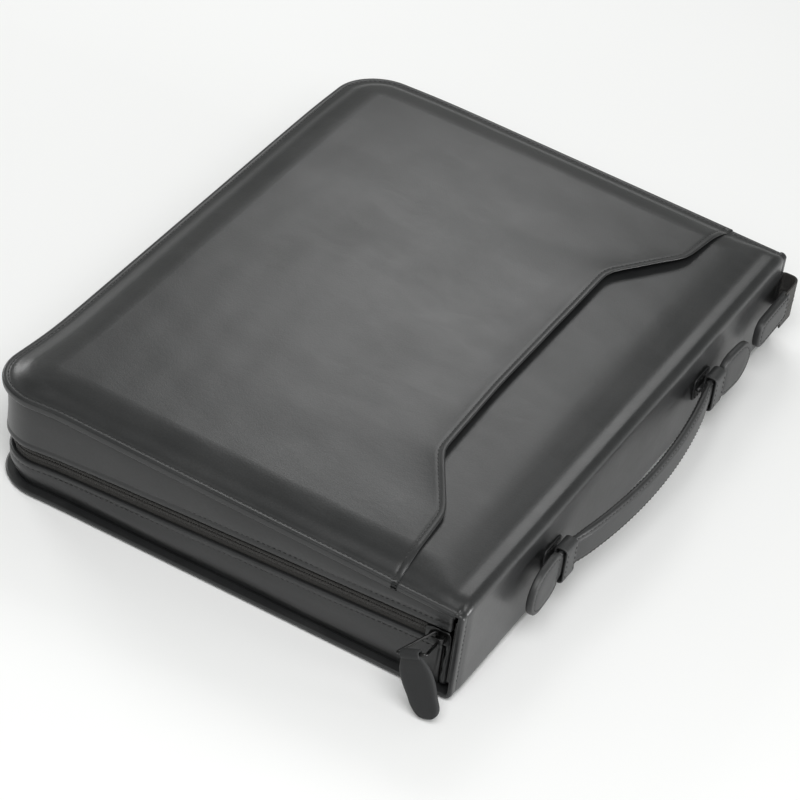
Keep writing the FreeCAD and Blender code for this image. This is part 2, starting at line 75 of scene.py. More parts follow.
def bell(v, centre, width):
    return np.exp(-((np.asarray(v, float) - centre) / width) ** 2)


def turns(start, end, count):
    """Evenly spaced angles between two given in degrees, as radians."""
    return np.radians(np.linspace(start, end, count))


def rectangle(u0, v0, u1, v1):
    return [(u0, v0), (u1, v0), (u1, v1), (u0, v1)]


def xyz(x, y, z):
    """Points from their coordinates, arrays or single numbers, broadcast together."""
    return np.stack(np.broadcast_arrays(x, y, z), -1)


def ripple(x, y, size, seed):
    """Smooth seeded unevenness of about unit height, with waves about size across."""
    rng = np.random.RandomState(seed)
    total = np.zeros(np.broadcast(x, y).shape)
    for _ in range(6):
        a = rng.uniform(0, 2 * math.pi)
        k = 2 * math.pi / size * rng.uniform(0.6, 1.7)
        total = total + np.sin(k * (np.cos(a) * x + np.sin(a) * y) + rng.uniform(0, 6.3))
    return total / 2.5


def zip_z(y):
    return ZIP_MID_Z - ZIP_SLOPE * np.asarray(y, float)


def cover_tilt(points, share=1.0):
    """Turns points of the front cover up by its wedge angle, or by a share of it."""
    p = np.array(points, float)
    a = TILT * np.asarray(share, float)
    y, z = p[..., 1] - FOLD_Y, p[..., 2] - FRONT_AXIS_Z
    p[..., 1] = FOLD_Y + y * np.cos(a) - z * np.sin(a)
    p[..., 2] = FRONT_AXIS_Z + y * np.sin(a) + z * np.cos(a)
    return p


def cover_under(y):
    """Height of the front cover's inner face at y."""
    return COVER_Z + (np.asarray(y, float) - FOLD_Y) * math.tan(TILT)


# ---------------------------------------------------------------- mesh making
def grid_faces(rows, cols, first, wrap_rows, wrap_cols):
    """Quads of a grid whose points are numbered row by row from first."""
    faces = []
    for i in range(rows if wrap_rows else rows - 1):
        for j in range(cols if wrap_cols else cols - 1):
            a, b = i * cols + j, i * cols + (j + 1) % cols
            c, d = (i + 1) % rows * cols + (j + 1) % cols, (i + 1) % rows * cols + j
            faces.append((first + a, first + b, first + c, first + d))
    return faces


def settled(points):
    """The soft fore corners: the near one stands out, the far one has sunk a little."""
    p = np.array(points, float)
    corner_x, corner_y = HALF_L - 8, HALF_W - 8
    near = np.exp(-((p[:, 0] + corner_x) ** 2 + (p[:, 1] - corner_y) ** 2) / 32.0 ** 2)
    near = near * smooth(90, 112, p[:, 1])
    out = np.interp(p[:, 2], (0, 8, 24, 34, 50, 60), (1.3, 1.9, 2.9, 3.4, 4.0, 5.4)) * near
    far = np.exp(-((p[:, 0] - corner_x) ** 2 + (p[:, 1] - corner_y) ** 2) / 34.0 ** 2)
    sink = np.interp(p[:, 2], (20, 60), (0, 1.8)) * far
    return p + out[:, None] * (-0.5, 0.86, 0) + sink[:, None] * (-0.5, -0.4, -0.8)


class Build:
    """Collects grids of points, in mm, and turns them into one welded mesh."""

    def __init__(self):
        self.points, self.faces = [], []

    def grid(self, pts, wrap_rows=False, wrap_cols=False, caps=False):
        pts = np.asarray(pts, float)
        rows, cols = pts.shape[:2]
        first = len(self.points)
        self.points.extend(pts.reshape(-1, 3))
        self.faces += grid_faces(rows, cols, first, wrap_rows, wrap_cols)
        if caps:
            self.faces.append(tuple(range(first, first + cols))[::-1])
            self.faces.append(tuple(range(first + (rows - 1) * cols, first + rows * cols)))

    def tube(self, pts):
        """Adds a closed tube: each row of points is one section, and both ends are capped."""
        self.grid(pts, wrap_cols=True, caps=True)

    def make(self, name, material, body=None, slot=None, face=None, weld=0.02, flat=None):
        mesh = bpy.data.meshes.new(name)
        obj = bpy.data.objects.new(name, mesh)
        bpy.context.scene.collection.objects.link(obj)
        bm = bmesh.new()
        verts = [bm.verts.new(Vector(p) * 0.001) for p in settled(self.points)]
        for f in self.faces:
            if len(set(f)) > 2:
                bm.faces.new([verts[i] for i in f])
        if weld:
            bmesh.ops.remove_doubles(bm, verts=bm.verts, dist=weld * 0.001)
        bmesh.ops.recalc_face_normals(bm, faces=bm.faces)
        if face is not None:
            want = Vector(face)
            if sum(f.normal.dot(want) * f.calc_area() for f in bm.faces) < 0:
                bmesh.ops.reverse_faces(bm, faces=bm.faces)
        for f in bm.faces:
            f.smooth = True
        bm.to_mesh(mesh)
        bm.free()
        mesh.materials.append(material)
        if flat:
            mesh.set_sharp_from_angle(angle=math.radians(flat))
        if body:
            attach(obj, body)
        return obj

    def sew(self, name, body, slot):
        """Makes the stitches added so far into one piece."""
        self.make(name, THREAD, body, slot, weld=0)


def unit(vectors):
    return vectors / np.linalg.norm(vectors, axis=1)[:, None]


def frames_along(path, up):
    """Unit side and up vectors for each point of a path."""
    path = np.asarray(path, float)
    t = unit(np.gradient(path, axis=0))
    side = unit(np.cross(t, np.broadcast_to(np.asarray(up, float), path.shape)))
    return side, np.cross(side, t)


def resample(path, step=None, count=None, closed=False):
    """A 3-D path again, with points step apart or with a number of points."""
    path = np.asarray(path, float)
    if closed:
        path = np.vstack([path, path[:1]])
    length = np.r_[0, np.cumsum(np.linalg.norm(np.diff(path, axis=0), axis=1))]
    count = count or max(2, int(round(length[-1] / step)) + 1)
    at = np.linspace(0, length[-1], count)
    out = np.stack([np.interp(at, length, path[:, k]) for k in range(3)], 1)
    return out[:-1] if closed else out


CORNER_PULL = 0.9875     # how strongly a rounded corner is drawn to its point


def rounded(corners, radius, steps=6):
    """Closed polygon, 2-D or 3-D, with each corner rounded by a curve."""
    c = np.asarray(corners, float)
    n = len(c)
    out = []
    for i in range(n):
        a, p, b = c[i - 1], c[i], c[(i + 1) % n]
        r = radius[i] if hasattr(radius, "__len__") else radius
        start = p + (a - p) / np.linalg.norm(a - p) * r
        end = p + (b - p) / np.linalg.norm(b - p) * r
        for t in np.linspace(0, 1, steps):
            share = (1 - t) ** 2, 2 * t * (1 - t) * CORNER_PULL, t ** 2
            out.append((start * share[0] + p * share[1] + end * share[2]) / sum(share))
    return np.array(out)


def evened(outline, step):
    """Closed 2-D outline with its points step apart."""
    flat = np.column_stack([outline, np.zeros(len(outline))])
    return resample(flat, step=step, closed=True)[:, :2]


def inward_of(outline):
    """Unit normals of an anticlockwise outline, towards its inside."""
    t = unit(np.gradient(outline, axis=0))
    return np.stack([-t[:, 1], t[:, 0]], 1)


def on_axes(at, u, v):
    """Makes a function that lays (u, v, height) points on two axes about a point."""
    n = np.cross(u, v)
    return lambda p: at + p[..., :1] * u + p[..., 1:2] * v + p[..., 2:] * n


def sweep(path, section, up, closed=False):
    """Points of a section, (side, up) in mm, carried along a path."""
    path = np.asarray(path, float)
    if closed:
        padded = np.vstack([path[-1:], path, path[:1]])
        side, upv = (vectors[1:-1] for vectors in frames_along(padded, up))
    else:
        side, upv = frames_along(path, up)
    section = np.asarray(section, float)
    if section.ndim == 2:
        section = np.broadcast_to(section, (len(path),) + section.shape)
    return path[:, None] + side[:, None] * section[..., :1] + upv[:, None] * section[..., 1:]


def round_angles(count):
    return np.linspace(0, 2 * math.pi, count, endpoint=False)


def circle(radius, count):
    a = round_angles(count)
    return np.stack([np.cos(a), np.sin(a)], 1) * radius


def plate(build, outline, profile, place, fill=5):
    """Adds a closed pillow-edged plate. outline is (u, v) in mm, anticlockwise; profile is a
    list of (inset, height) from the back's middle round the edge to the front's middle."""
    p = np.asarray(outline, float)
    low, high = p.min(0), p.max(0)
    centre, half = (low + high) / 2, (high - low) / 2

    def drawn_in(inset, share=1.0):
        return centre + (p - centre) * (half - inset) / half * share

    shares = [0.02 + 0.98 * k / fill for k in range(fill)]
    rows = [(drawn_in(profile[0][0], share), profile[0][1]) for share in shares]
    rows += [(drawn_in(inset), height) for inset, height in profile]
    rows += [(drawn_in(profile[-1][0], share), profile[-1][1]) for share in shares[::-1]]
    pts = np.array([np.column_stack([q, np.full(len(q), h)]) for q, h in rows])
    build.tube(place(pts))


def round_rim(half, edge):
    """Profile points round the edge of a plate of two halves, with the edge's own radius."""
    turn = turns(-90, 90, 9)
    return [(edge * (1 - math.cos(t)), math.copysign(half - edge, t) + edge * math.sin(t))
            for t in turn]


STITCH_SHAPE = [(-0.5, 0.12, -0.9), (-0.42, 0.62, -0.35), (-0.22, 0.95, 0.05), (0.0, 1.0, 0.15),
                (0.22, 0.95, 0.05), (0.42, 0.62, -0.35), (0.5, 0.12, -0.9)]
THREAD_STEP = 0.5


def stitch_row(build, path, up, *, pitch, length, radius, sink):
    """Adds thread stitches, one capsule each, along a path on a surface. A stitch is given
    by (place along it, thickness, rise), in lengths and radii of the thread."""
    raw = np.asarray(path, float)
    far = np.r_[0, np.cumsum(np.linalg.norm(np.diff(raw, axis=0), axis=1))]
    path = resample(raw, step=THREAD_STEP)
    total = len(path) - 1
    count = int(total * THREAD_STEP / pitch)
    ups = np.broadcast_to(np.asarray(up, float), raw.shape)
    at = np.linspace(0, far[-1], len(path))
    up_at = np.stack([np.interp(at, far, ups[:, k]) for k in range(3)], 1)
    along, thick, rise = np.array(STITCH_SHAPE).T
    ring = circle(radius, 6)
    height = (rise + 0.6) * radius - sink
    for spot in (np.arange(count) + 0.5) / max(count, 1) * total:
        i = int(spot)
        here = path[i] + (path[min(i + 1, total)] - path[i]) * (spot - i)
        a, b = path[max(i - 1, 0)], path[min(i + 2, total)]
        t = (b - a) / np.linalg.norm(b - a)
        side = np.cross(t, up_at[i])
        side /= np.linalg.norm(side)
        u = np.cross(side, t)
        mid = here + t * (along * length)[:, None] + u * height[:, None]
        build.tube(mid[:, None] + (side * ring[:, :1] + u * ring[:, 1:]) * thick[:, None, None])


# ---------------------------------------------------------------- materials
class Paint:
    """Small helper for building a node material on one Principled shader. Its mapping gives
    the object's coordinates in mm."""

    def __init__(self, name):
        self.mat = bpy.data.materials.new(name)
        self.mat.use_nodes = True
        self.nt = self.mat.node_tree
        self.nt.nodes.clear()
        out = self.put("ShaderNodeOutputMaterial")
        self.bsdf = self.put("ShaderNodeBsdfPrincipled")
        self.feed(out, {"Surface": self.bsdf.outputs[0]})
        coords = self.put("ShaderNodeTexCoord").outputs["Object"]
        self.mm = self.put("ShaderNodeMapping", Vector=coords, Scale=(1000, 1000, 1000)).outputs[0]
        self.height = None

    def feed(self, node, sockets):
        """Links or sets each socket, by whether its value is another node's output."""
        for socket, value in sockets.items():
            if isinstance(value, bpy.types.NodeSocket):
                self.nt.links.new(value, node.inputs[socket])
            else:
                node.inputs[socket].default_value = value

    def put(self, kind, **values):
        """New node. Its settings and sockets are given by name, with _ for a space."""
        node = self.nt.nodes.new(kind)
        for key, value in values.items():
            if hasattr(node, key):
                setattr(node, key, value)
            else:
                self.feed(node, {key.replace("_", " "): value})
        return node

    def set(self, **values):
        self.feed(self.bsdf, {key.replace("_", " "): value for key, value in values.items()})

    def stretched(self, scale, turn=(0, 0, 0)):
        return self.put("ShaderNodeMapping", Vector=self.mm, Scale=scale, Rotation=turn).outputs[0]

    def noise(self, size, detail=3.0, rough=0.55, vector=None, twist=0.0):
        node = self.put("ShaderNodeTexNoise", Vector=vector or self.mm, Scale=1 / size,
                        Detail=detail, Roughness=rough, Distortion=twist)
        return node.outputs["Fac"]

    def cells(self, size, feature="F1", vector=None, **values):
        node = self.put("ShaderNodeTexVoronoi", Vector=vector or self.mm, feature=feature,
                        Scale=1 / size, **values)
        return node.outputs["Distance"]

    def wave(self, size, direction, twist):
        node = self.put("ShaderNodeTexWave", Vector=self.mm, wave_type="BANDS",
                        bands_direction=direction, Scale=0.314 / size, Distortion=twist)
        return node.outputs["Fac"]

    def ramp(self, source, low, high, a=0.0, b=1.0):
        node = self.put("ShaderNodeMapRange", Value=source, From_Min=low, From_Max=high,
                        To_Min=a, To_Max=b)
        return node.outputs[0]

    def mix(self, share, a, b):
        node = self.put("ShaderNodeMix", data_type="RGBA")
        self.feed(node, {0: share, 6: a, 7: b})
        return node.outputs[2]

    def maths(self, operation, a, b):
        node = self.put("ShaderNodeMath", operation=operation)
        self.feed(node, {0: a, 1: b})
        return node.outputs[0]

    def rough(self, source, low, high):
        self.set(Roughness=self.ramp(source, 0.25, 0.75, low, high))

    def bump(self, source, depth_mm, strength):
        below = {"Normal": self.height} if self.height else {}
        node = self.put("ShaderNodeBump", Height=source, Strength=strength,
                        Distance=depth_mm * 0.001, **below)
        self.height = node.outputs[0]

    def done(self):
        if self.height:
            self.set(Normal=self.height)
        return self.mat


def grey(v, warm=0.0):
    return (v * (1 + warm), v, v * (1 - warm), 1)


def scaled(colour, factor):
    return tuple(c * factor for c in colour[:3]) + (1,)


def leather(name, dark, light, low, high, grain=0.9, depth=0.045, crease=0.10, coat=0.12,
            polished=1.0):
    """Grained leather, low to high in roughness. Its edges are worn lighter, and the face on
    the spine's side is smoother, by the factor polished."""
    p = Paint(name)
    pores = p.cells(grain, "SMOOTH_F1", Smoothness=0.6)
    fine = p.noise(0.45, 2.0)
    wide = p.noise(46, 3.0, 0.5)
    streak = p.noise(9, 4.0, 0.6, p.stretched((1.0, 0.32, 1.0), (0, 0, 0.5)), 0.8)
    wrinkle = p.cells(5.5, "DISTANCE_TO_EDGE", p.stretched((1.0, 0.7, 1.0)))
    tone = p.mix(p.ramp(wide, 0.32, 0.68), dark, light)
    worn = p.mix(p.ramp(streak, 0.52, 0.85, 0, 0.5), tone, scaled(light, 1.5))
    pored = p.mix(p.ramp(pores, 0.1, 0.75, 0, 0.45), worn, scaled(dark, 0.6))
    edge = p.put("ShaderNodeNewGeometry").outputs["Pointiness"]
    p.set(Base_Color=p.mix(p.ramp(edge, 0.52, 0.62, 0, 0.4), pored, scaled(light, 2.2)))
    uneven = p.maths("ADD", p.maths("MULTIPLY", wide, 0.6), p.maths("MULTIPLY", streak, 0.4))
    y = p.put("ShaderNodeSeparateXYZ", Vector=p.mm).outputs["Y"]
    spine = p.ramp(y, -HALF_W - 0.2, -HALF_W + 2.5, polished, 1.0)
    p.set(Roughness=p.maths("MULTIPLY", p.ramp(uneven, 0.25, 0.75, low, high), spine))
    p.bump(p.ramp(wrinkle, 0.0, 0.5), crease * 0.25, 0.5)
    p.bump(streak, crease, 0.35)
    p.bump(pores, -depth, 0.55)
    p.bump(fine, depth * 0.5, 0.4)
    p.set(Specular_IOR_Level=0.5, Coat_Weight=coat, Coat_Roughness=0.34)
    return p.done()


def fabric(name, dark, light, pitch, rough, depth, sheen):
    """Woven cloth or thread with a fluffy face."""
    p = Paint(name)
    warp = p.maths("ADD", p.wave(pitch, "X", 0.4), p.wave(pitch, "Z", 0.3))
    weave = p.maths("MULTIPLY", warp, p.maths("ADD", p.wave(pitch, "Y", 0.4), 0.35))
    fluff = p.noise(1.1, 3.0)
    tone = p.mix(p.ramp(weave, 0.2, 1.6), dark, light)
    p.set(Base_Color=p.mix(p.ramp(fluff, 0.45, 0.8, 0, 0.5), tone, scaled(light, 1.35)))
    p.rough(p.noise(14), rough - 0.08, rough + 0.06)
    p.bump(weave, depth, 0.6)
    p.bump(fluff, depth * 0.5, 0.3)
    p.set(Sheen_Weight=sheen, Sheen_Roughness=0.4, Specular_IOR_Level=0.3)
    return p.done()


def metal(name, dark, light, low, high, brushed=False):
    p = Paint(name)
    lines = p.noise(1.2, 4.0, 0.6, p.stretched((0.06, 1.0, 1.0))) if brushed else p.noise(2.0, 4.0)
    p.set(Base_Color=p.mix(p.ramp(lines, 0.3, 0.7), dark, light))
    p.rough(p.noise(6), low, high)
    p.bump(lines, 0.012, 0.4)
    p.set(Metallic=1.0)
    return p.done()


COVER_LEATHER = leather("cover_leather", grey(0.015, -0.04), grey(0.024, -0.02), 0.33, 0.44,
                        polished=0.9)
HANDLE_LEATHER = leather("handle_leather", grey(0.018, -0.03), grey(0.030, -0.02), 0.44, 0.56,
                         grain=0.8, crease=0.06, coat=0.05)
TAB_LEATHER = leather("tab_rubberised", grey(0.010, -0.06), grey(0.015, -0.05), 0.66, 0.78,
                      grain=0.6, depth=0.03, crease=0.03, coat=0.0)
THREAD = fabric("thread", grey(0.020), grey(0.046), 0.35, 0.62, 0.06, 0.1)
TAPE_CLOTH = fabric("zip_tape", grey(0.024, 0.05), grey(0.042, 0.05), 0.7, 0.82, 0.10, 0.12)
COIL_NYLON = fabric("zip_coil", grey(0.024, 0.05), grey(0.042, 0.05), 0.5, 0.6, 0.05, 0.1)
LINING = fabric("lining", grey(0.020), grey(0.042), 0.6, 0.88, 0.10, 0.3)
ZIP_METAL = metal("zip_metal", grey(0.035), grey(0.07), 0.28, 0.42)
STEEL = metal("steel", grey(0.52, 0.01), grey(0.68), 0.18, 0.34, brushed=True)


def card_paper():
    p = Paint("card")
    fibre = p.noise(0.8, 5.0, 0.7)
    p.set(Base_Color=p.mix(fibre, grey(0.012), grey(0.024)))
    p.rough(p.noise(8), 0.8, 0.92)
    p.bump(fibre, 0.03, 0.4)
    return p.done()


def clear_plastic():
    p = Paint("clear_plastic")
    haze = p.noise(22, 3.0)
    p.set(Base_Color=p.mix(haze, (0.86, 0.89, 0.9, 1), (0.95, 0.97, 0.98, 1)))
    p.rough(haze, 0.10, 0.20)
    p.bump(p.noise(60, 1.0), 0.3, 0.06)
    p.set(IOR=1.45, Alpha=0.14)
    return p.done()


def greyboard():
    p = Paint("board")
    fibre = p.noise(1.6, 5.0, 0.7)
    p.set(Base_Color=p.mix(fibre, grey(0.10, 0.06), grey(0.20, 0.06)))
    p.rough(fibre, 0.85, 0.95)
    p.bump(fibre, 0.08, 0.5)
    return p.done()


def foam():
    p = Paint("padding")
    pores = p.cells(0.9, "F1")
    p.set(Base_Color=p.mix(pores, grey(0.35, 0.03), grey(0.6, 0.04)))
    p.rough(pores, 0.9, 0.98)
    p.bump(pores, -0.15, 0.6)
    return p.done()


CARD, CLEAR, BOARD, FOAM = card_paper(), clear_plastic(), greyboard(), foam()


def repaint(material, *names):
    for n in names:
        data = NODES[n].data
        data.materials.clear()
        data.materials.append(material)


# ---------------------------------------------------------------- panels
def side_shares(start):
    """Rows along a straight side, close together near the spine."""
    near = [0, 1.4, 2.6, 3.6, 4.4, 5.2, 6.4, 8, 10.4, 13.5, 17.5, 22]
    far = np.linspace(27, 108 - start, 34)
    return np.r_[near, far] / (108 - start)


ARC_N, TOP_N = 16, 64


def outline_ring(inset, starts, shares):
    """Outline drawn in by inset, from the spine side round the fore edge and back.
    starts gives where the near and the far side begin, as y."""
    x, y, r = HALF_L - inset, HALF_W - inset, CORNER_R - inset
    low = y - r
    near = [(-x, starts[0] + (low - starts[0]) * f) for f in shares]
    far = [(x, starts[1] + (low - starts[1]) * f) for f in shares]
    turn = turns(180, 90, ARC_N + 1)[1:]
    a = [(-x + r + r * math.cos(t), low + r * math.sin(t)) for t in turn]
    top = [(v, y) for v in np.linspace(-x + r, x - r, TOP_N + 1)[1:]]
    b = [(-px, py) for px, py in a[::-1]][1:]
    return np.array(near + a + top + b + far[::-1])


def fill_patch(ring, shares, bottom):
    """Grid of (x, y) inside the innermost ring; bottom gives y for each x along the start line."""
    half = ARC_N // 2
    n = len(shares) + half
    left, right = ring[:n], ring[::-1][:n]
    top = ring[n - 1:len(ring) - n + 1]
    u = (top[:, 0] - top[0, 0]) / (top[-1, 0] - top[0, 0])
    v = (left[:, 1] - left[0, 1]) / (left[-1, 1] - left[0, 1])
    bx = left[0, 0] + (right[0, 0] - left[0, 0]) * u
    low = np.stack([bx, bottom(bx)], 1)
    low[0], low[-1] = left[0], right[0]
    U, V = u[None, :, None], v[:, None, None]
    pts = ((1 - U) * left[:, None] + U * right[:, None] + (1 - V) * low[None] + V * top[None]
           - (1 - U) * (1 - V) * low[0] - U * (1 - V) * low[-1]
           - (1 - U) * V * top[0] - U * V * top[-1])
    return pts, low


def panel_skin(build, profile, bottom, place):
    """Adds a wrapped panel to a build. profile is a list of (inset, drop); place turns
    (x, y, inset, drop) arrays into points. Gives the columns along the start line."""
    ends = [bottom(np.array([-HALF_L + s, HALF_L - s])) for s, _ in profile]
    first = min(float(e.min()) for e in ends)
    shares = side_shares(first)
    rings = np.array([outline_ring(s, e, shares) for (s, _), e in zip(profile, ends)])
    inset = np.array([s for s, _ in profile])[:, None]
    drop = np.array([d for _, d in profile])[:, None]
    build.grid(place(rings[..., 0], rings[..., 1], inset, drop))
    patch, low = fill_patch(rings[-1], shares, bottom)
    build.grid(place(patch[..., 0], patch[..., 1], np.array([[INSIDE]]), np.array([[0.0]])))
    x = np.r_[rings[:, 0, 0], low[1:-1, 0], rings[::-1, -1, 0]]
    s = np.r_[inset[:, 0], np.full(len(low) - 2, INSIDE), inset[::-1, 0]]
    d = np.r_[drop[:, 0], np.zeros(len(low) - 2), drop[::-1, 0]]
    return x, s, d


FLANGE = [2.0, 2.4, 2.7, 3.0, 3.3, 3.7, 4.2, 4.8, 5.5, 6.4, 7.5, 9.0, 10.8, 13.0, 15.5, 18.0, 20.5,
          23.0, 25.5]


def mouth_line():
    """The pocket's mouth as y for x: straight runs with softened corners."""
    corners = [(-190, -98.3), (-128.5, -94.4), (-91.5, -71.5), (-30, -69.3), (89, -69.2),
               (129.5, -96.2), (190, -101.6)]
    x = np.arange(-190, 190.5, 0.5)
    y = np.interp(x, *np.array(corners).T)
    reach, softness = 24, 7.0
    kernel = np.exp(-np.arange(-reach, reach + 1) ** 2 / (2 * softness ** 2))
    return x, np.convolve(np.pad(y, reach, mode="edge"), kernel / kernel.sum(), mode="valid")


MOUTH = mouth_line()


def mouth(x):
    return np.interp(x, *MOUTH)


def mouth_stretch(x):
    """How much longer a distance across the mouth is when measured along y."""
    slope = (mouth(np.asarray(x) + 1) - mouth(np.asarray(x) - 1)) / 2
    return np.sqrt(1 + slope ** 2)


def cover_lift(s, x, y):
    """Height of the cover's leather over its flat face."""
    rise = smooth(-125.0, -104.0, y)
    flange = -3.5 - 0.3 * bell(s, 2.7, 0.4)
    crown = 1.3 * (1 - np.abs(x / 182) ** 2.6) * (1 - np.abs((y - 3) / 134) ** 2.6)
    middle = -0.4 * bell(y, -124.6, 3.6) + 1.25 * rise + crown * rise
    middle = middle + 0.11 * ripple(x, y, 70, 3) * rise + 0.05 * ripple(x, y, 24, 5) * rise
    steep = smooth(3.0, 7.5 + 5.5 * rise, s)
    wide = smooth(3.0, 12 + 13.5 * rise, s)
    return flange + (middle - flange) * (0.42 * steep + 0.58 * wide)


def pocket_lift(s, x, y):
    """Height of the pocket's leather: it stands away from the cover along its mouth."""
    inside = smooth(4.6, 12, s)
    slack = smooth(-172, -84, x) * (1 - smooth(112, 182, x))
    away = np.clip(y - mouth(x), 0, 300)
    gape = (0.5 + 3.1 * slack) * np.exp(-away / 17) * smooth(5, 22, s)
    return cover_lift(s, x, y) + 0.6 + 0.6 * inside + gape


def spine_lift(s, x, z):
    edge = -0.5 - 0.3 * bell(s, 4.0, 0.5)
    middle = 0.05 * ripple(x, z, 50, 8) * smooth(8, 24, z) * (1 - smooth(36, 50, z))
    return edge + (middle - edge) * smooth(4.6, 9, s)


def on_spine(x, s, d, z):
    """Points on the spine's outer face, one row for each height."""
    z = np.asarray(z, float)[:, None]
    y = -HALF_W - spine_lift(s[None], x[None], z) + d[None]
    return xyz(x[None], np.minimum(y, FOLD_Y - 0.4), z)


def fold_rows(columns, lift, up, steps=12):
    """Rows round a fold from the spine's face to the panel's; up is 1 at the cover, -1 at the back."""
    x, s, d = (v[None] for v in columns)
    axis_z = FRONT_AXIS_Z if up > 0 else BACK_AXIS_Z
    share = np.linspace(0, 1, steps + 1)[:, None]
    turn = (1 - share) * math.pi / 2
    spine = spine_lift(s, x, axis_z)
    panel = lift(s, x, np.full((1, 1), FOLD_Y))
    r = np.maximum(FOLD_R + spine + (panel - spine) * share - d, 0.4)
    y = FOLD_Y - r * np.sin(turn)
    z = axis_z + up * r * np.cos(turn)
    pts = xyz(x, y, z)
    return cover_tilt(pts, share) if up > 0 else pts


def place_cover(lift):
    def place(x, y, s, d):
        z = SPINE_HEIGHT + lift(s, x, y) - d
        return cover_tilt(xyz(x, y, z))
    return place


def along_fold(x):
    """Start line of a panel that ends at its fold."""
    return np.full(np.shape(x), FOLD_Y)


def cover_skin():
    """Front cover, top fold and spine: one leather, bending at the fold."""
    profile = [(4.2, 3.2), (1.2, 3.2), (0.4, 3.1), (0.08, 2.75), (0, 2.2), (0, 1.6), (0.0, 1.1),
               (0.12, 0.6), (0.4, 0.25), (0.9, 0.06), (1.5, 0)] + [(s, 0) for s in FLANGE]
    b = Build()
    columns = panel_skin(b, profile, along_fold, place_cover(cover_lift))
    b.grid(fold_rows(columns, cover_lift, 1))
    b.grid(on_spine(*columns, np.linspace(SEAM_Z, FRONT_AXIS_Z, 18)))
    obj = b.make("cover_skin", COVER_LEATHER, slot="cover_leather", face=(0, -0.3, 1))
    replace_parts(obj, "front_leather", "top_fold", "spine_leather")
    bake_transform(obj)


def back_lift(s, x=0, y=0):
    """Height of the back's leather, the same at every x and y."""
    flange = -0.3 - 0.2 * bell(s, 4.0, 0.5)
    return flange - flange * smooth(4.8, 11, s)


def place_back(x, y, s, d):
    z = -back_lift(s, x, y) + d
    return xyz(x, y, z)


def back_skin():
    """Back cover and bottom fold, up to where the spine's leather takes over."""
    profile = [(8.0, 2.55), (6.0, 2.5), (4.0, 2.5), (2.6, 2.55), (1.1, 2.5), (0.45, 2.4), (0.1, 2.1),
               (0, 1.7), (0, 1.1), (0.1, 0.6), (0.4, 0.25), (0.9, 0.06), (1.5, 0)]
    profile += [(s, 0) for s in FLANGE]
    b = Build()
    columns = panel_skin(b, profile, along_fold, place_back)
    b.grid(fold_rows(columns, back_lift, -1))
    b.grid(on_spine(*columns, np.linspace(BACK_AXIS_Z, SEAM_Z, 5)))
    obj = b.make("back_skin", COVER_LEATHER, slot="cover_leather", face=(0, -0.3, -1))
    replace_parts(obj, "back_leather", "bottom_fold")
    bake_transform(obj)


def pocket_skin():
    """The outer pocket's leather, wrapped round the cover's edge, with a rolled mouth."""
    profile = [(4.0, 4.2), (0.4, 4.2), (-0.15, 4.05), (-0.35, 3.6), (-0.38, 2.8), (-0.38, 2.0),
               (-0.36, 1.2), (-0.2, 0.6), (0.2, 0.2), (0.8, 0.03), (1.5, 0)]
    profile += [(s, 0) for s in FLANGE]
    hem = 6.0
    b = Build()
    place = place_cover(pocket_lift)
    x, s, d = panel_skin(b, profile, lambda v: mouth(v) + hem * mouth_stretch(v), place)
    top = d == 0
    rows = []
    roll = [(hem, 0), (5.0, 0), (4.3, -0.03), (3.8, -0.12), (3.3, -0.2), (2.9, -0.12), (2.4, 0.03),
            (1.8, 0.1), (1.1, 0.1), (0.5, 0.0), (0.1, -0.25), (-0.08, -0.6), (0.0, -0.95),
            (0.4, -1.15), (3.0, -1.2)]
    for away, height in roll:
        y = mouth(x) + away * mouth_stretch(x)
        z = SPINE_HEIGHT + pocket_lift(s, x, y) - d + np.where(top, height, 0) * smooth(0.8, 2.4, s)
        rows.append(cover_tilt(np.stack([x, y, z], 1)))
    b.grid(rows)
    obj = b.make("pocket_skin", COVER_LEATHER, "front_cover", "cover_leather", (0, 0, 1))
    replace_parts(obj, "front_pocket")


# ---------------------------------------------------------------- gussets and zip
def outline_path(inset, start, step):
    """(x, y) along the outline drawn in by inset, from the near to the far end."""
    x, y, r = HALF_L - inset, HALF_W - inset, CORNER_R - inset
    turn = turns(180, 90, 25)
    near = np.array([(-x, v) for v in np.linspace(start, y - r, 60)])
    arc = np.stack([-x + r + r * np.cos(turn), y - r + r * np.sin(turn)], 1)
    path = np.vstack([near, arc[1:], (arc[::-1] * (-1, 1))[1:-1], (near * (-1, 1))[::-1]])
    path = np.column_stack([path, np.zeros(len(path))])
    return resample(path, step=step)[:, :2]


def outline_normals(path):
    """Unit normals of the outline path, which runs clockwise, towards its inside."""
    return -inward_of(path)


WALL_BASE, WALL_STEP = 4.0, 2.0


def wall_skin(build, section, low, high, wave=None, start=GUSSET_Y):
    """Adds a closed wall. section is (share, rise, inset): the height is low plus a share of
    the way to high plus rise, and wave(distance, share, rise) adds to the inset."""
    path = outline_path(WALL_BASE, start, WALL_STEP)
    inward = outline_normals(path)
    along = np.arange(len(path)) * WALL_STEP
    rows = []
    for share, rise, inset in section:
        z = low(path[:, 1]) + share * (high(path[:, 1]) - low(path[:, 1])) + rise
        off = np.full(len(path), inset - WALL_BASE)
        if wave:
            off = off + wave(along, share, rise)
        rows.append(np.column_stack([path + inward * off[:, None], z]))
    build.tube(np.array(rows).transpose(1, 0, 2))


def gusset_wave(seed, amount):
    """Soft unevenness of a gusset along its length, strongest halfway up."""
    def wave(along, share, rise):
        middle = math.sin(math.pi * min(max(share + rise * 0.04, 0), 1))
        return amount * ripple(along, np.full_like(along, share * 60), 80, seed) * (0.25 + middle)
    return wave


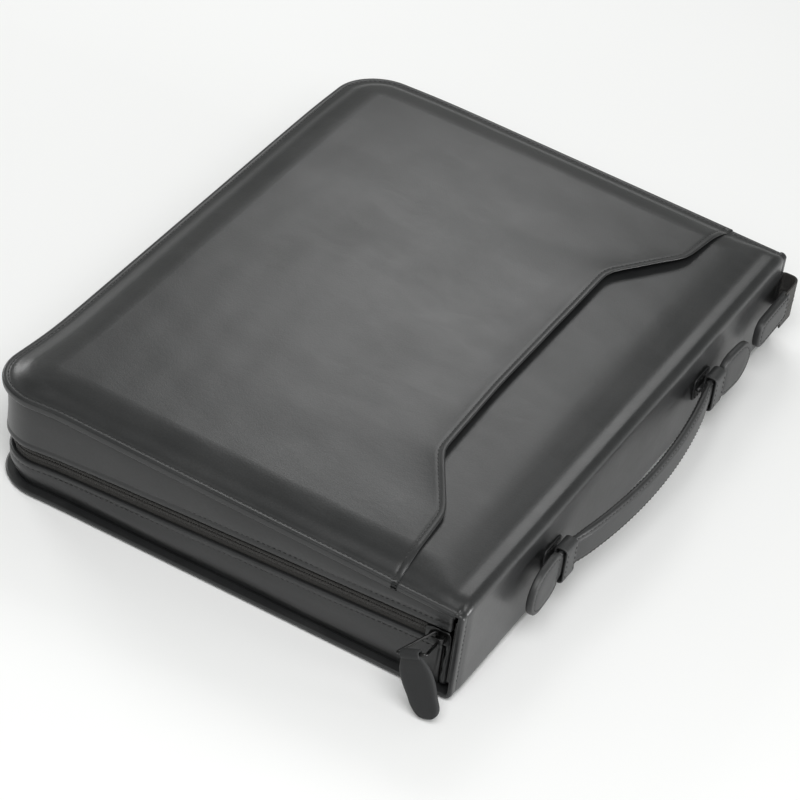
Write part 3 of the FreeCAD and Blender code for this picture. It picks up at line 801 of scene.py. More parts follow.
def seam_along(build, inset, height):
    """Stitches along the outline at a height, facing outwards."""
    path = outline_path(inset, GUSSET_Y + 3, 0.5)
    pts = np.column_stack([path, height(path[:, 1])])
    outward = np.column_stack([-outline_normals(path), np.zeros(len(path))])
    stitch_row(build, pts, outward, pitch=3.0, length=2.04, radius=0.26, sink=0.2)


TAPE_SHOWN = 5.0


def lower_parts():
    low = lambda y: np.full(np.shape(y), 2.6)
    high = lambda y: zip_z(y) - TAPE_SHOWN
    section = [(0, 0.0, 6.0), (0, 0.4, 5.75), (0, 1.2, 5.5), (0, 2.2, 5.1), (0, 3.4, 4.5),
               (0, 4.8, 3.9), (0, 6.4, 3.35), (0.5, 0, 2.8), (0.62, 0, 2.7), (1, -4.6, 2.75),
               (1, -3.7, 3.0), (1, -3.1, 3.05), (1, -2.6, 2.75), (1, -1.6, 2.5), (1, -0.6, 2.6),
               (1, -0.1, 3.0), (1, 0.0, 3.6), (1, -0.2, 5.2), (1, -2, 5.6), (0.5, 0, 5.7),
               (0, 2.0, 6.6), (0, 0.4, 6.9)]
    b = Build()
    wall_skin(b, section, low, high, wave=gusset_wave(21, 0.28))
    obj = b.make("lower_gusset_skin", COVER_LEATHER, "back_cover", "cover_leather")
    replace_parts(obj, "lower_gusset")
    b = Build()
    seam_along(b, 2.95, lambda y: high(y) - 3.3)
    b.sew("lower_gusset_stitches", "back_cover", "cover_leather")
    lining = [(0, 0.2, 6.0), (1, -5.2, 6.0), (1, -5.0, 6.2), (1, -5.2, 6.6), (0, 0.2, 6.6)]
    b = Build()
    wall_skin(b, lining, low, high)
    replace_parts(b.make("lower_wall_lining", LINING, "back_cover", "lining", flat=50),
                "lower_gusset_lining")


def upper_parts():
    low = lambda y: zip_z(y) + TAPE_SHOWN
    high = lambda y: cover_under(y) - 0.9
    section = [(0, 0.2, 5.2), (0, 0.0, 3.8), (0, 0.0, 2.9), (0, 0.35, 2.25), (0, 1.2, 1.95),
               (0, 2.4, 2.0), (0, 3.2, 2.3), (0, 3.7, 2.45), (0, 4.2, 2.3), (0, 5.2, 2.0),
               (0.35, 2.5, 1.75), (0.6, 1.2, 1.6), (0.8, 0.4, 1.7), (0.93, 0, 1.9), (1, -0.25, 2.1),
               (1, 0, 2.6), (1, 0.3, 4.0), (1, 0, 5.4), (0.5, 0, 5.5)]
    wave = gusset_wave(33, 0.3)

    def bulge(along, share, rise):
        """The hem stands out near the fore corners, where the leather is full."""
        corner = bell(along, 232, 48) + bell(along, 610, 48)
        return wave(along, share, rise) - 0.9 * corner * bell(share * 20 + rise, 2.0, 4.0)

    b = Build()
    wall_skin(b, section, low, high, wave=bulge, start=-128.0)
    obj = b.make("upper_gusset_skin", COVER_LEATHER, "front_cover", "cover_leather")
    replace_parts(obj, "upper_gusset")
    b = Build()
    seam_along(b, 2.4, lambda y: low(y) + 3.7)
    b.sew("upper_gusset_stitches", "front_cover", "cover_leather")
    lining = [(0, 5.2, 6.0), (1, 0, 6.0), (1, 0, 6.6), (0, 5.2, 6.6), (0, 5.0, 6.2)]
    b = Build()
    wall_skin(b, lining, low, high)
    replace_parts(b.make("upper_wall_lining", LINING, "front_cover", "lining", flat=50),
                "upper_gusset_lining")


COIL_PITCH, COIL_STEP = 1.5, 0.25


def zip_parts():
    """Tapes with a woven edge, and a row of coil turns beside the zip line on each."""
    for side, body, word in ((-1, "back_cover", "lower"), (1, "front_cover", "upper")):
        section = [(0, side * rise, inset) for rise, inset in (
            (0.55, 5.5), (0.8, 5.3), (3.2, 5.2), (3.6, 5.08), (4.0, 5.2), (9.6, 5.3), (9.8, 5.5),
            (9.6, 5.9), (0.8, 5.9))]
        b = Build()
        wall_skin(b, section, zip_z, zip_z)
        obj = b.make(word + "_tape_cloth", TAPE_CLOTH, body, "zip_tape", flat=60)
        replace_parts(obj, word + "_zip_tape")
        path = outline_path(5.0, GUSSET_Y + 1.5, COIL_STEP)
        inward = outline_normals(path)
        dist = np.arange(len(path)) * COIL_STEP
        phase = math.pi if side > 0 else 0
        ridge = 0.5 + 0.5 * np.cos(dist * 2 * math.pi / COIL_PITCH + phase)
        rows = []
        for rise, out in ((0.12, 0.0), (0.2, 0.5), (0.7, 0.85), (1.3, 0.9), (1.9, 0.75),
                          (2.3, 0.35), (2.4, -0.1), (0.3, -0.2)):
            puff = max(out, 0) * (0.55 + 0.45 * ridge)
            meshed = 0.28 * (1 - ridge) if rise < 0.3 else 0
            reach = side * (rise + meshed)
            off = np.where(out > 0, -puff, -out) + 0.15
            rows.append(np.column_stack([path + inward * off[:, None], zip_z(path[:, 1]) + reach]))
        b = Build()
        b.tube(np.array(rows).transpose(1, 0, 2))
        obj = b.make(word + "_coil", COIL_NYLON, body, "zip_coil")
        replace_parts(obj, word + "_zip_coil")


def gusset_folds():
    """Folded ends of the gusset leather beside the spine."""
    count, radius = 26, 2.75
    a = round_angles(28)
    from_angle = lambda middle: np.angle(np.exp(1j * (a - middle)))
    groove = (1 - 0.38 * bell(from_angle(2.4), 0, 0.42)) * (1 - 0.2 * bell(from_angle(4.2), 0, 0.3))
    for name, side in (("near", -1), ("far", 1)):
        rows = []
        for t, z in zip(np.linspace(0, 1, count), np.linspace(6.2, 33.0, count)):
            lean = 0.5 * math.sin(t * 5.2) * (1 - 0.3 * t)
            r = radius * (1.0 - 0.25 * t + 0.10 * math.sin(t * 17)) * groove
            x = HALF_L - 6.1 + r * np.cos(a) * 1.05 + 0.4 * lean
            y = FOLD_Y + 2.9 + r * np.sin(a) * 0.78 + 0.2 * lean
            rows.append(xyz(side * x, y, z))
        last = rows[-1]
        middle = last.mean(0)
        for k, shrink in enumerate((0.8, 0.45, 0.1)):
            rows.append(middle + (last - middle) * shrink + (0, 0, 0.7 + 0.35 * k))
        b = Build()
        b.tube(rows)
        obj = b.make(name + "_gusset_fold", COVER_LEATHER, "back_cover", "cover_leather")
        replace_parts(obj, name + "_gusset_end")


# ---------------------------------------------------------------- stitches on the panels
EDGE_STITCH = {"pitch": 2.8, "length": 1.9, "radius": 0.27}


def cover_stitches():
    """Seam round the cover and the pocket, just inside the edge, and the pocket's hem."""
    path = outline_path(2.7, -121.0, 0.5)
    x, y = path.T
    on_pocket = y > mouth(x) + 1
    lift = np.where(on_pocket, pocket_lift(2.7, x, y), cover_lift(2.7, x, y))
    top = cover_tilt(np.column_stack([path, SPINE_HEIGHT + lift]))
    b = Build()
    cut = np.flatnonzero(np.diff(on_pocket.astype(int)))
    for piece in np.split(top, cut + 1):
        stitch_row(b, piece, (0, 0, 1), sink=0.1, **EDGE_STITCH)
    x = np.arange(-177, 177.1, 0.5)
    y = mouth(x) + 3.35 * mouth_stretch(x)
    z = SPINE_HEIGHT + pocket_lift(HALF_L - np.abs(x), x, y) - 0.3
    stitch_row(b, cover_tilt(xyz(x, y, z)), (0, 0, 1), pitch=2.8, length=1.9,
               radius=0.25, sink=0.06)
    b.sew("cover_stitches", "front_cover", "cover_leather")


def back_and_spine_stitches():
    inset = 4.0
    path = outline_path(inset, -121.0, 0.5)
    z = np.full(len(path), -float(back_lift(inset)))
    b = Build()
    stitch_row(b, np.column_stack([path, z]), (0, 0, -1), sink=0.0, **EDGE_STITCH)
    b.sew("back_stitches", "back_cover", "cover_leather")
    b = Build()
    for x in (-HALF_L + inset, HALF_L - inset):
        z = np.arange(10, 48.5, 0.5)
        y = -HALF_W - spine_lift(np.full(len(z), inset), x, z)
        stitch_row(b, xyz(x, y, z), (0, -1, 0), sink=0.1, **EDGE_STITCH)
    b.sew("spine_stitches", "spine", "cover_leather")


def cover_pad():
    """Foam under the cover's leather: a crowned slab, thinner towards its edges."""
    profile = [(22, 3.0), (11.0, 2.9), (9.2, 2.6), (8.6, 2.0), (8.9, 1.3), (9.8, 0.6), (11.0, 0.2)]
    b = Build()
    start = lambda x: np.full(np.shape(x), -118.0)
    place = place_cover(lambda s, x, y: cover_lift(s, x, y) - 1.2)
    panel_skin(b, profile + [(s, 0) for s in (12, 14, 17, 20, 24)], start, place)
    obj = b.make("cover_pad", FOAM, "front_cover", "padding", (0, 0, 1))
    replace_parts(obj, "front_padding")


# ---------------------------------------------------------------- handle
HANDLE_X, HANDLE_Z = -3.4, 29.5
BOW, BOW_R, BOW_END, STRAP_END, STRAP_OUT = 16.4, 330.0, 77.0, 91.0, 7.3
KEEPER_X, KEEPER_LENGTH = 83.5, 13.0


def slab(build, outline, thick, edge, at, u, v, swell=0.0):
    """Closed plate with rounded edges, in mm, laid on the axes u and v about a point."""
    u, v, at = np.array(u, float), np.array(v, float), np.array(at, float)
    half = thick / 2
    middle = 3.2 * edge
    profile = [(middle, -half - swell)] + round_rim(half, edge) + [(middle, half + swell)]
    plate(build, outline, profile, on_axes(at, u, v))


def bar(build, path, radius, up=(0, 0, 1), count=10, closed=False):
    """Round bar along a path."""
    build.grid(sweep(path, circle(radius, count), up, closed=closed), wrap_cols=True,
               wrap_rows=closed, caps=not closed)


def brick(build, low, high, radius):
    """Block with rounded upright corners and rounded edges, between two corners in mm."""
    low, high = np.array(low, float), np.array(high, float)
    a, b, half = (high - low) / 2
    outline = rounded(rectangle(-a, -b, a, b), min(radius, a * 0.9, b * 0.9), 5)
    edge = min(radius * 0.6, half * 0.9, a * 0.28, b * 0.28)
    slab(build, outline, 2 * half, edge, (low + high) / 2, (1, 0, 0), (0, 1, 0))


def strap_line():
    """Middle line of the strap, from the near to the far end, as (x, y)."""
    x = np.linspace(-STRAP_END, STRAP_END, 147)
    centre = BOW_R - BOW
    out = np.where(np.abs(x) < BOW_END, np.sqrt(BOW_R ** 2 - np.minimum(np.abs(x), BOW_END) ** 2)
                   - centre, STRAP_OUT)
    kernel = np.ones(5) / 5
    out = np.convolve(np.pad(out, 2, mode="edge"), kernel, mode="valid")
    return HANDLE_X + x, -HALF_W - out


def seamed_profile(half, edge, shoulder):
    """Profile of a sewn tab. shoulder gives (inset, depth below the face) from its middle
    to its edge, past the groove that the seam lies in."""
    back = [(inset, depth - half) for inset, depth in shoulder]
    front = [(inset, half - depth) for inset, depth in shoulder[::-1]]
    return back + round_rim(half, edge) + front


def seam_both_faces(build, rows, at, u, v, height, **thread):
    """The same rows of stitches on both faces of a tab."""
    n = np.cross(u, v)
    for face in (-1, 1):
        for row in rows:
            pts = at + row[:, :1] * u + row[:, 1:] * v + face * height * n
            stitch_row(build, pts, face * n, **thread)


def strap():
    """The strap: thicker in its middle, with a groove and a seam along both edges."""
    x, y = strap_line()
    path = xyz(x, y, HANDLE_Z)
    middle = 1 - smooth(64, 76, np.abs(x - HANDLE_X))
    half = 1.9 + 0.55 * middle
    a = round_angles(56)
    c, s = np.cos(a), np.sin(a)
    sections = []
    for m, h in zip(middle, half):
        side = np.sign(c) * np.abs(c) ** 0.75 * h
        up = np.sign(s) * np.abs(s) ** 0.62 * (9.1 + 0.5 * m)
        groove = bell(up, 7.0, 0.42) + bell(up, -7.0, 0.42)
        side = side * (1 - 0.26 * groove * (np.abs(c) > 0.3))
        sections.append(np.column_stack([side, up]))
    b = Build()
    b.tube(sweep(path, np.array(sections), (0, 0, 1)))
    obj = b.make("strap_leather", HANDLE_LEATHER, "handle", "handle_leather")
    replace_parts(obj, "handle_strap")
    b = Build()
    seamed = slice(10, -10)
    w = half[seamed] * 0.70
    for high in (7.95, -7.95):
        for out in (1, -1):
            row = path[seamed] + xyz(0.0, -out * w, high)
            up = (0, -out, math.copysign(0.5, high))
            stitch_row(b, row, up, pitch=3.0, length=2.1, radius=0.3, sink=0.1)
    b.sew("strap_stitches", "handle", "handle_leather")


def paddle(name, side):
    """Rounded end of the strap, with a seam round it on both faces."""
    lean = math.radians(3.2)
    u = np.array([side * math.cos(lean), -math.sin(lean), 0.0])
    v = np.array([0, 0, 1.0])
    at = np.array([HANDLE_X + side * (STRAP_END + 0.25), -HALF_W - STRAP_OUT, HANDLE_Z])
    half, r = 1.9, 13.5
    turn = turns(-90, 90, 25)
    tip = np.stack([18.5 + r * np.cos(turn), r * np.sin(turn)], 1)
    root = [(0.3, 9.6), (0.3, 5), (0.3, 0), (0.3, -5), (0.3, -9.6), (3, -12.0), (7.5, -r), (13, -r)]
    crown = [(13, r), (7.5, r), (3, 12.0)]
    outline = evened(np.vstack([root, tip, crown]), 1.4)
    shoulder = [(8, -0.5), (4.2, -0.4), (3.1, -0.1), (2.5, 0.22), (1.9, -0.02)]
    b = Build()
    plate(b, outline, seamed_profile(half, 1.1, shoulder), on_axes(at, u, v))
    obj = b.make(name + "_paddle_leather", HANDLE_LEATHER, "handle", "handle_leather")
    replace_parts(obj, name + "_paddle")
    inset = outline + inward_of(outline) * 2.5
    keep = inset[:, 0] > 2.0
    first = int(np.argmax(~keep))
    seam = np.roll(inset, -first, 0)[np.roll(keep, -first)]
    b = Build()
    seam_both_faces(b, [seam], at, u, v, half - 0.25, pitch=3.0, length=2.1, radius=0.3, sink=0.05)
    b.sew(name + "_paddle_stitches", "handle", "handle_leather")


def keeper_patches():
    """Stitched patches on the spine, under the two keepers."""
    outline = evened(rounded(rectangle(-9, -7, 9, 7), 2.6), 1.5)
    patches, threads = Build(), Build()
    for side in (-1, 1):
        cx = HANDLE_X + side * KEEPER_X
        at = (cx, -HALF_W - 0.35, HANDLE_Z)
        slab(patches, outline, 1.0, 0.4, at, (1, 0, 0), (0, 0, 1), 0.08)
        for dz in (-5.6, 5.6):
            row = [(cx + dx, -HALF_W - 0.9, HANDLE_Z + dz) for dx in (-7.4, 7.4)]
            stitch_row(threads, row, (0, -1, 0), pitch=2.6, length=1.8, radius=0.26, sink=0.02)
    obj = patches.make("keeper_patch_leather", HANDLE_LEATHER, "spine", "handle_leather")
    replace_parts(obj, "keeper_patches")
    threads.sew("keeper_patch_stitches", "spine", "handle_leather")


def keeper(name, side):
    """Leather loop round the strap, with its tongue sewn down to the spine."""
    cx = HANDLE_X + side * KEEPER_X
    cy = -HALF_W - STRAP_OUT
    loop = rounded(rectangle(-3.2, -10.5, 3.2, 10.5), 2.2, 7)
    loop = xyz(cx, cy + loop[:, 0], HANDLE_Z + loop[:, 1])
    half = KEEPER_LENGTH / 2
    wide = half - 0.8
    across = rounded(rectangle(-0.6, -wide, 0.6, wide), 0.5, 4)
    b = Build()
    b.grid(sweep(resample(loop, step=1.0, closed=True), across, (1, 0, 0), closed=True),
           wrap_rows=True, wrap_cols=True)
    for dz in (-0.5, 0.5):
        root = [(cx, cy + 3.4, HANDLE_Z + dz * 1.4), (cx, cy + 4.2, HANDLE_Z + dz * 1.2),
                (cx, -HALF_W - 1.4, HANDLE_Z + dz * 1.2)]
        b.tube(sweep(resample(root, count=8), across * 0.9, (1, 0, 0)))
    bar(b, [(cx + dx, -HALF_W - 1.9, HANDLE_Z) for dx in (-half, 0, half)], 0.95)
    obj = b.make(name + "_keeper_leather", HANDLE_LEATHER, "handle", "handle_leather")
    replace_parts(obj, name + "_keeper")
    b = Build()
    for dx in (-half + 2.2, half - 2.2):
        row = [(cx + dx, cy - 3.75, HANDLE_Z + z) for z in np.linspace(-8.2, 8.2, 12)]
        stitch_row(b, row, (0, -1, 0), pitch=2.8, length=1.9, radius=0.26, sink=0.05)
    b.sew(name + "_keeper_stitches", "handle", "handle_leather")


def handle_parts():
    strap()
    for name, side in (("near", -1), ("far", 1)):
        paddle(name, side)
        keeper(name, side)
    keeper_patches()


# ---------------------------------------------------------------- zip tail
TAIL_X, TAIL_HINGE_Y, TAIL_RUN_Y = 183.2, -137.0, -HALF_W - 8.0
TAIL_HALF, TAIL_MID_Z = 11.75, 28.75
END_TAB_X, END_TAB_Z = (133.0, 170.0), (21.5, 39.5)


def tail_tape():
    """Zip tape that comes out past the spine, turns round its far end and runs back along it."""
    r = 4.2
    turn = turns(0, 90, 12)
    bend = [(TAIL_X - r + r * math.cos(t), TAIL_RUN_Y + r - r * math.sin(t)) for t in turn]
    line = [(HALF_L - 0.6, -HALF_W + 2.1), (TAIL_X - 2.2, -HALF_W + 2.0),
            (TAIL_X - 0.7, -HALF_W + 1.4), (TAIL_X, -HALF_W + 0.2), (TAIL_X, TAIL_HINGE_Y)]
    line += bend + [(END_TAB_X[1] - 4, TAIL_RUN_Y)]
    path = resample([(x, y, TAIL_MID_Z) for x, y in line], step=1.0)
    v = np.linspace(-TAIL_HALF, TAIL_HALF, 41)
    ridge = 0.32 * (bell(v, -1.35, 0.75) + bell(v, 1.35, 0.75)) - 0.12 * bell(v, 0, 0.25)
    ridge += 0.10 * (bell(v, TAIL_HALF - 1.2, 0.4) + bell(v, 1.2 - TAIL_HALF, 0.4))
    front = np.column_stack([0.45 + ridge, v])
    back = np.column_stack([-0.45 - 0.4 * ridge, v])[::-1]
    edge = TAIL_HALF + 0.25
    section = np.vstack([front, [(0.0, edge)], back, [(0.0, -edge)]])
    b = Build()
    b.tube(sweep(path, section, (0, 0, 1)))
    obj = b.make("tail_tape_cloth", TAPE_CLOTH, slot="zip_tape", flat=60)
    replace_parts(obj, "tail_tape", "tail_anchor")
    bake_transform(obj)


def end_tab():
    """Leather tab that closes on the tape's end, sewn round its edge and across the tape."""
    (x0, x1), (z0, z1) = END_TAB_X, np.array(END_TAB_Z) - TAIL_MID_Z
    lean = math.radians(0.6)
    u, v = np.array([math.cos(lean), math.sin(lean), 0.0]), np.array([0, 0, 1.0])
    at = np.array([x1, TAIL_RUN_Y + 1.0, TAIL_MID_Z])
    outline = evened(rounded(rectangle(x0 - x1, z0, 0, z1), [7.5, 1.6, 1.6, 7.5], 9), 1.3)
    half = 2.2
    shoulder = [(5, -0.25), (4, -0.15), (3.0, 0), (2.4, 0.26), (1.8, 0)]
    b = Build()
    plate(b, outline, seamed_profile(half, 1.2, shoulder), on_axes(at, u, v))
    obj = b.make("end_tab_leather", HANDLE_LEATHER, "zip_tail", "handle_leather")
    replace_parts(obj, "tail_end_tab")
    seam = outline + inward_of(outline) * 2.4
    cross = np.array([(-7.5, z) for z in np.linspace(z0 + 3, z1 - 3, 16)])
    b = Build()
    seam_both_faces(b, [np.vstack([seam, seam[:1]]), cross], at, u, v, half - 0.2,
                    pitch=2.8, length=1.9, radius=0.28, sink=0.02)
    b.sew("end_tab_stitches", "zip_tail", "handle_leather")


# ---------------------------------------------------------------- slider and pull
SLIDER_Y = -122.0
PULL_POINT = np.array([-198.6, -118.8, 37.5])
PULL_YAW, PULL_LEAN = math.radians(5.5), math.radians(20.6)


def pull_axes():
    """The pull tab's axes: along the bail's bar, out of the tab, and up the tab."""
    m = Matrix.Rotation(-math.pi / 2 + PULL_YAW, 3, "Z") @ Matrix.Rotation(-PULL_LEAN, 3, "Y")
    return [np.array(m @ Vector(v)) for v in ((1, 0, 0), (0, 1, 0), (0, 0, 1))]


def slider_parts():
    """Slider plates with waisted sides, a bridge, and the wire link on it."""
    tilt = math.atan(ZIP_SLOPE)
    up = np.array([0, math.sin(tilt), math.cos(tilt)])
    fore = np.array([0, math.cos(tilt), -math.sin(tilt)])
    mid = np.array([-HALF_L, SLIDER_Y, float(zip_z(SLIDER_Y))])
    lower_side = [(-7, -2.6), (-5.5, -4.4), (-1, -4.0), (3, -4.5), (7, -3.6)]
    outline = evened(rounded(lower_side + [(a, -b) for a, b in lower_side[::-1]], 1.2, 5), 0.7)
    b = Build()
    for x, thick in ((2.8, 1.6), (7.4, 1.2)):
        slab(b, outline, thick, 0.45, mid + (x, 0, 0), fore, up, 0.05)
    slab(b, rectangle(-6.9, -1.8, -2.0, 1.8), 0.16, 0.05, mid + (5.2, 0, 0), fore, (1, 0, 0))
    rising = [(-4.0, 0.1), (-3.9, -1.4), (-3.4, -2.7), (-2.4, -3.25)]
    arch = rising + [(0, -3.3)] + [(-s, d) for s, d in rising[::-1]]
    path = resample([mid + (2.1 + d, 0, 0) + fore * s for s, d in arch], step=0.5)
    strip = rounded(rectangle(-0.55, -1.6, 0.55, 1.6), 0.4, 4)
    b.tube(sweep(path, strip, up))
    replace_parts(b.make("slider_metal", ZIP_METAL, "zip_slider", "zip_metal"), "zip_slider")
    along = pull_axes()[0]
    hinge = mid + (0.65, 0, 0)
    corners = [hinge - up * 4.5, hinge + up * 4.5, PULL_POINT - along * 7.8, PULL_POINT + along * 7.8]
    wire = resample(rounded(corners, 1.5, 8), step=0.5, closed=True)
    n = np.cross(corners[1] - corners[0], corners[2] - corners[1])
    b = Build()
    bar(b, wire, 0.8, n, 12, closed=True)
    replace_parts(b.make("bail_wire", ZIP_METAL, "pull_bail", "zip_metal"), "pull_bail")


PULL_BEND, PULL_END = -28.65, -38.5     # where the tab's rounded end starts, and its tip


def pull_parts():
    """One strap of leather folded over the bail's bar and stitched to itself."""
    along, out, up = pull_axes()
    place = lambda p: PULL_POINT + p[..., :1] * along + p[..., 1:2] * out + p[..., 2:] * up
    drop = np.r_[np.linspace(0, -14, 12), np.linspace(-15, PULL_BEND, 12)]
    widening = np.sin(np.clip(-drop / 14, 0, 1) * math.pi / 2)
    half = 4.8 + 4.3 * widening - 1.0 * smooth(-16, PULL_BEND, drop)
    a = turns(0, 88, 16)[1:]
    drop = np.r_[drop, PULL_BEND - 9.75 * np.sin(a)]
    half = np.r_[half, half[-1] * np.cos(a)]
    v = np.linspace(-1, 1, 13)
    rows = []
    for z, h in zip(drop, half):
        edge = (1 - np.abs(v)) * h
        puff = 0.4 * smooth(1.6, 4.0, edge) * smooth(0, -6, z) * smooth(-38, -33, z)
        crease = 0.16 * bell(edge, 1.7, 0.35)
        thick = np.sqrt(np.clip(edge, 0, 0.9) / 0.9) * 1.4
        end = math.sqrt(np.clip((z - PULL_END) / 1.4, 0.02, 1))
        t = thick * end + puff - crease * end
        front = xyz(v * h, t, z)
        back = front[::-1][1:-1] * (1, -1, 1)
        rows.append(np.vstack([front, back]))
    b = Build()
    b.tube(place(np.array(rows)))
    turn = turns(-62, 242, 27)
    unit = np.stack([np.cos(turn), np.sin(turn)], 1)
    ring = np.vstack([2.5 * unit, 1.2 * unit[::-1]])
    r = np.hypot(ring[:, 0], ring[:, 1])
    rows = []
    for x, f in ((-4.8, 0.72), (-4.72, 0.9), (-4.5, 1), (-2, 1), (0, 1), (2, 1), (4.5, 1),
                 (4.72, 0.9), (4.8, 0.72)):
        k = (r.mean() + (r - r.mean()) * f) / r
        rows.append(xyz(x, ring[:, 0] * k, ring[:, 1] * k))
    b.tube(place(np.array(rows)))
    obj = b.make("pull_leather", TAB_LEATHER, "pull_tab", "tab_rubberised")
    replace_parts(obj, "pull_tab")


# ---------------------------------------------------------------- inside the case
def at_height(z, tilted, flip=1):
    """Makes a function that lays a flat panel at a height, tilted with the cover or not."""
    def place(p):
        q = np.stack([p[..., 0], p[..., 1], z + flip * p[..., 2]], -1)
        return cover_tilt(q) if tilted else q
    return place


def cloth_panel(build, low, high, z, thick, tilted=False, radius=4.0, swell=0.15):
    """Flat fabric or leather panel with a turned hem, between two (x, y) corners. Its face
    looks up on the back and down on the tilted cover."""
    outline = evened(rounded(rectangle(*low, *high), radius), 4.0)
    e, half = thick * 0.3, thick / 2
    hemmed = half - thick * 0.22
    profile = [(8, -half), (3, -half), (e, -half), (0.15 * e, -half / 2), (0, 0), (0.15 * e, half / 2),
               (e, half), (3.4, half), (3.9, hemmed), (5.4, hemmed), (8, hemmed + swell * 0.5),
               (14, hemmed + swell)]
    plate(build, outline, profile, at_height(z, tilted, -1 if tilted else 1), fill=7)


def round_outline(inset, y_start):
    """A panel's whole outline drawn in by inset, square along the line y_start."""
    x, y, r = HALF_L - inset, HALF_W - inset, max(CORNER_R - inset, 3)
    turn = turns(0, 90, 12)
    far = [(x - r + r * math.cos(t), y - r + r * math.sin(t)) for t in turn]
    near = [(-px, py) for px, py in far[::-1]]
    return evened([(-x, y_start), (x, y_start)] + far + near, 5.0)


def inside_panel(name, z, thick, y_start, node, material, body, slot, tilted=False, inset=5.5):
    """Board or lining that fills a panel's tray, with softened edges."""
    half = thick / 2
    profile = [(9, -half), (1, -half), (0.2, -half), (0, -half + 0.2), (0, half - 0.2), (0.2, half),
               (1.0, half + 0.02), (9, half + 0.02)]
    b = Build()
    plate(b, round_outline(inset, y_start), profile, at_height(z, tilted), fill=9)
    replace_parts(b.make(name, material, body, slot, flat=40), node)


def linings():
    inside_panel("back_board_sheet", 2.75, 2.7, FOLD_END, "back_board", BOARD, "back_cover",
                 "board", inset=7.2)
    inside_panel("back_lining_cloth", 4.75, 0.8, LINING_END, "back_lining", LINING, "back_cover",
                 "lining")
    inside_panel("front_board_sheet", 53.3, 1.7, FOLD_END, "front_board", BOARD, "front_cover",
                 "board", True)
    inside_panel("front_lining_cloth", 51.9, 0.8, LINING_END, "front_lining", LINING,
                 "front_cover", "lining", True)
    b = Build()
    brick(b, (-HALF_L + 2, -133.4, 10.6), (HALF_L - 2, -131.2, 47.4), 0.8)
    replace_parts(b.make("spine_board_sheet", BOARD, "spine", "board"), "spine_board")
    b = Build()
    brick(b, (-HALF_L + 1.8, -130.9, 10.2), (HALF_L - 1.8, -130.1, 47.8), 0.6)
    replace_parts(b.make("spine_lining_cloth", LINING, "spine", "lining"), "spine_lining")
    hinge_strips()


def hinge_strips():
    """Lining carried across both folds, closing the case inside there."""
    x = np.linspace(-HALF_L + 6, HALF_L - 6, 90)
    thick, reach = 0.55, 1.2
    quarter = np.linspace(0, 1, 9) * math.pi / 2
    flat = [(y, 0.0) for y in np.linspace(-119.5, FOLD_Y + reach + 0.6, 10)]
    arc = [(FOLD_Y + reach * (1 - math.sin(t)), -reach * (1 - math.cos(t))) for t in quarter]
    wall = [(FOLD_Y, -reach - 0.6 - h) for h in np.linspace(0, 11, 8)]
    y0, z0 = np.array(flat + arc + wall).T
    y1 = y0 + thick * np.r_[np.zeros(10), np.linspace(0, 0.7, 9), np.ones(8)]
    z1 = z0 - thick * np.r_[np.ones(10), np.linspace(1, 0.3, 9), np.zeros(8)]
    loop_y, loop_z = np.r_[y0, y1[::-1]], np.r_[z0, z1[::-1]]
    for name, up, axis in (("bottom_hinge_lining", -1, BACK_AXIS_Z),
                           ("top_hinge_lining", 1, FRONT_AXIS_Z)):
        pts = xyz(x[:, None], loop_y[None], axis + up * loop_z[None])
        b = Build()
        b.tube(pts)
        obj = b.make(name, LINING, slot="lining")
        if up > 0:
            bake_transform(obj)
        else:
            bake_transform(obj)


POCKET_CLOTH = 1.2


def border_seam(build, low, high, z, up, tilted=False):
    """Stitches round a pocket's border between two (x, y) corners."""
    x, y = rounded(rectangle(*low, *high), 3, 5).T
    path = xyz(np.r_[x, x[0]], np.r_[y, y[0]], z)
    stitch_row(build, cover_tilt(path) if tilted else path, (0, 0, up), pitch=3.6, length=2.4,
               radius=0.26, sink=0.1)


def card_pockets(threads):
    """Three leather card pockets on the organizer, each thicker than the next one up."""
    b = Build()
    for i in range(3):
        y0 = -60.0 + 26 * i
        thick = 0.8 * (3 - i)
        cloth_panel(b, (-150, y0 + 0.1), (-45, y0 + 25.9), COVER_Z - POCKET_CLOTH - thick / 2,
                    thick, tilted=True, radius=1.5, swell=0.1)
        z = COVER_Z - POCKET_CLOTH - thick - 0.1
        row = [(v, y0 + 24.3, z) for v in np.linspace(-148, -47, 60)]
        stitch_row(threads, cover_tilt(row), (0, 0, -1), pitch=3.0, length=2.0, radius=0.26,
                   sink=0.05)
    obj = b.make("card_pocket_leather", HANDLE_LEATHER, "front_cover", "handle_leather", flat=45)
    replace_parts(obj, "card_pockets")


def pockets():
    b = Build()
    cloth_panel(b, (-165, -62), (165, 116), PANEL + 0.6, POCKET_CLOTH)
    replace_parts(b.make("back_pocket_cloth", LINING, "back_cover", "lining", flat=45), "back_pocket")
    b = Build()
    cloth_panel(b, (-165, -92), (140, 116), COVER_Z - 0.6, POCKET_CLOTH, tilted=True)
    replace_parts(b.make("organizer_cloth", LINING, "front_cover", "lining", flat=45), "organizer_panel")
    threads = Build()
    card_pockets(threads)
    border_seam(threads, (-163, -90), (138, 114), COVER_Z - POCKET_CLOTH, -1, tilted=True)
    threads.sew("organizer_stitches", "front_cover", "lining")
    threads = Build()
    border_seam(threads, (-163, -60), (163, 114), PANEL + POCKET_CLOTH, 1)
    threads.sew("back_pocket_stitches", "back_cover", "lining")


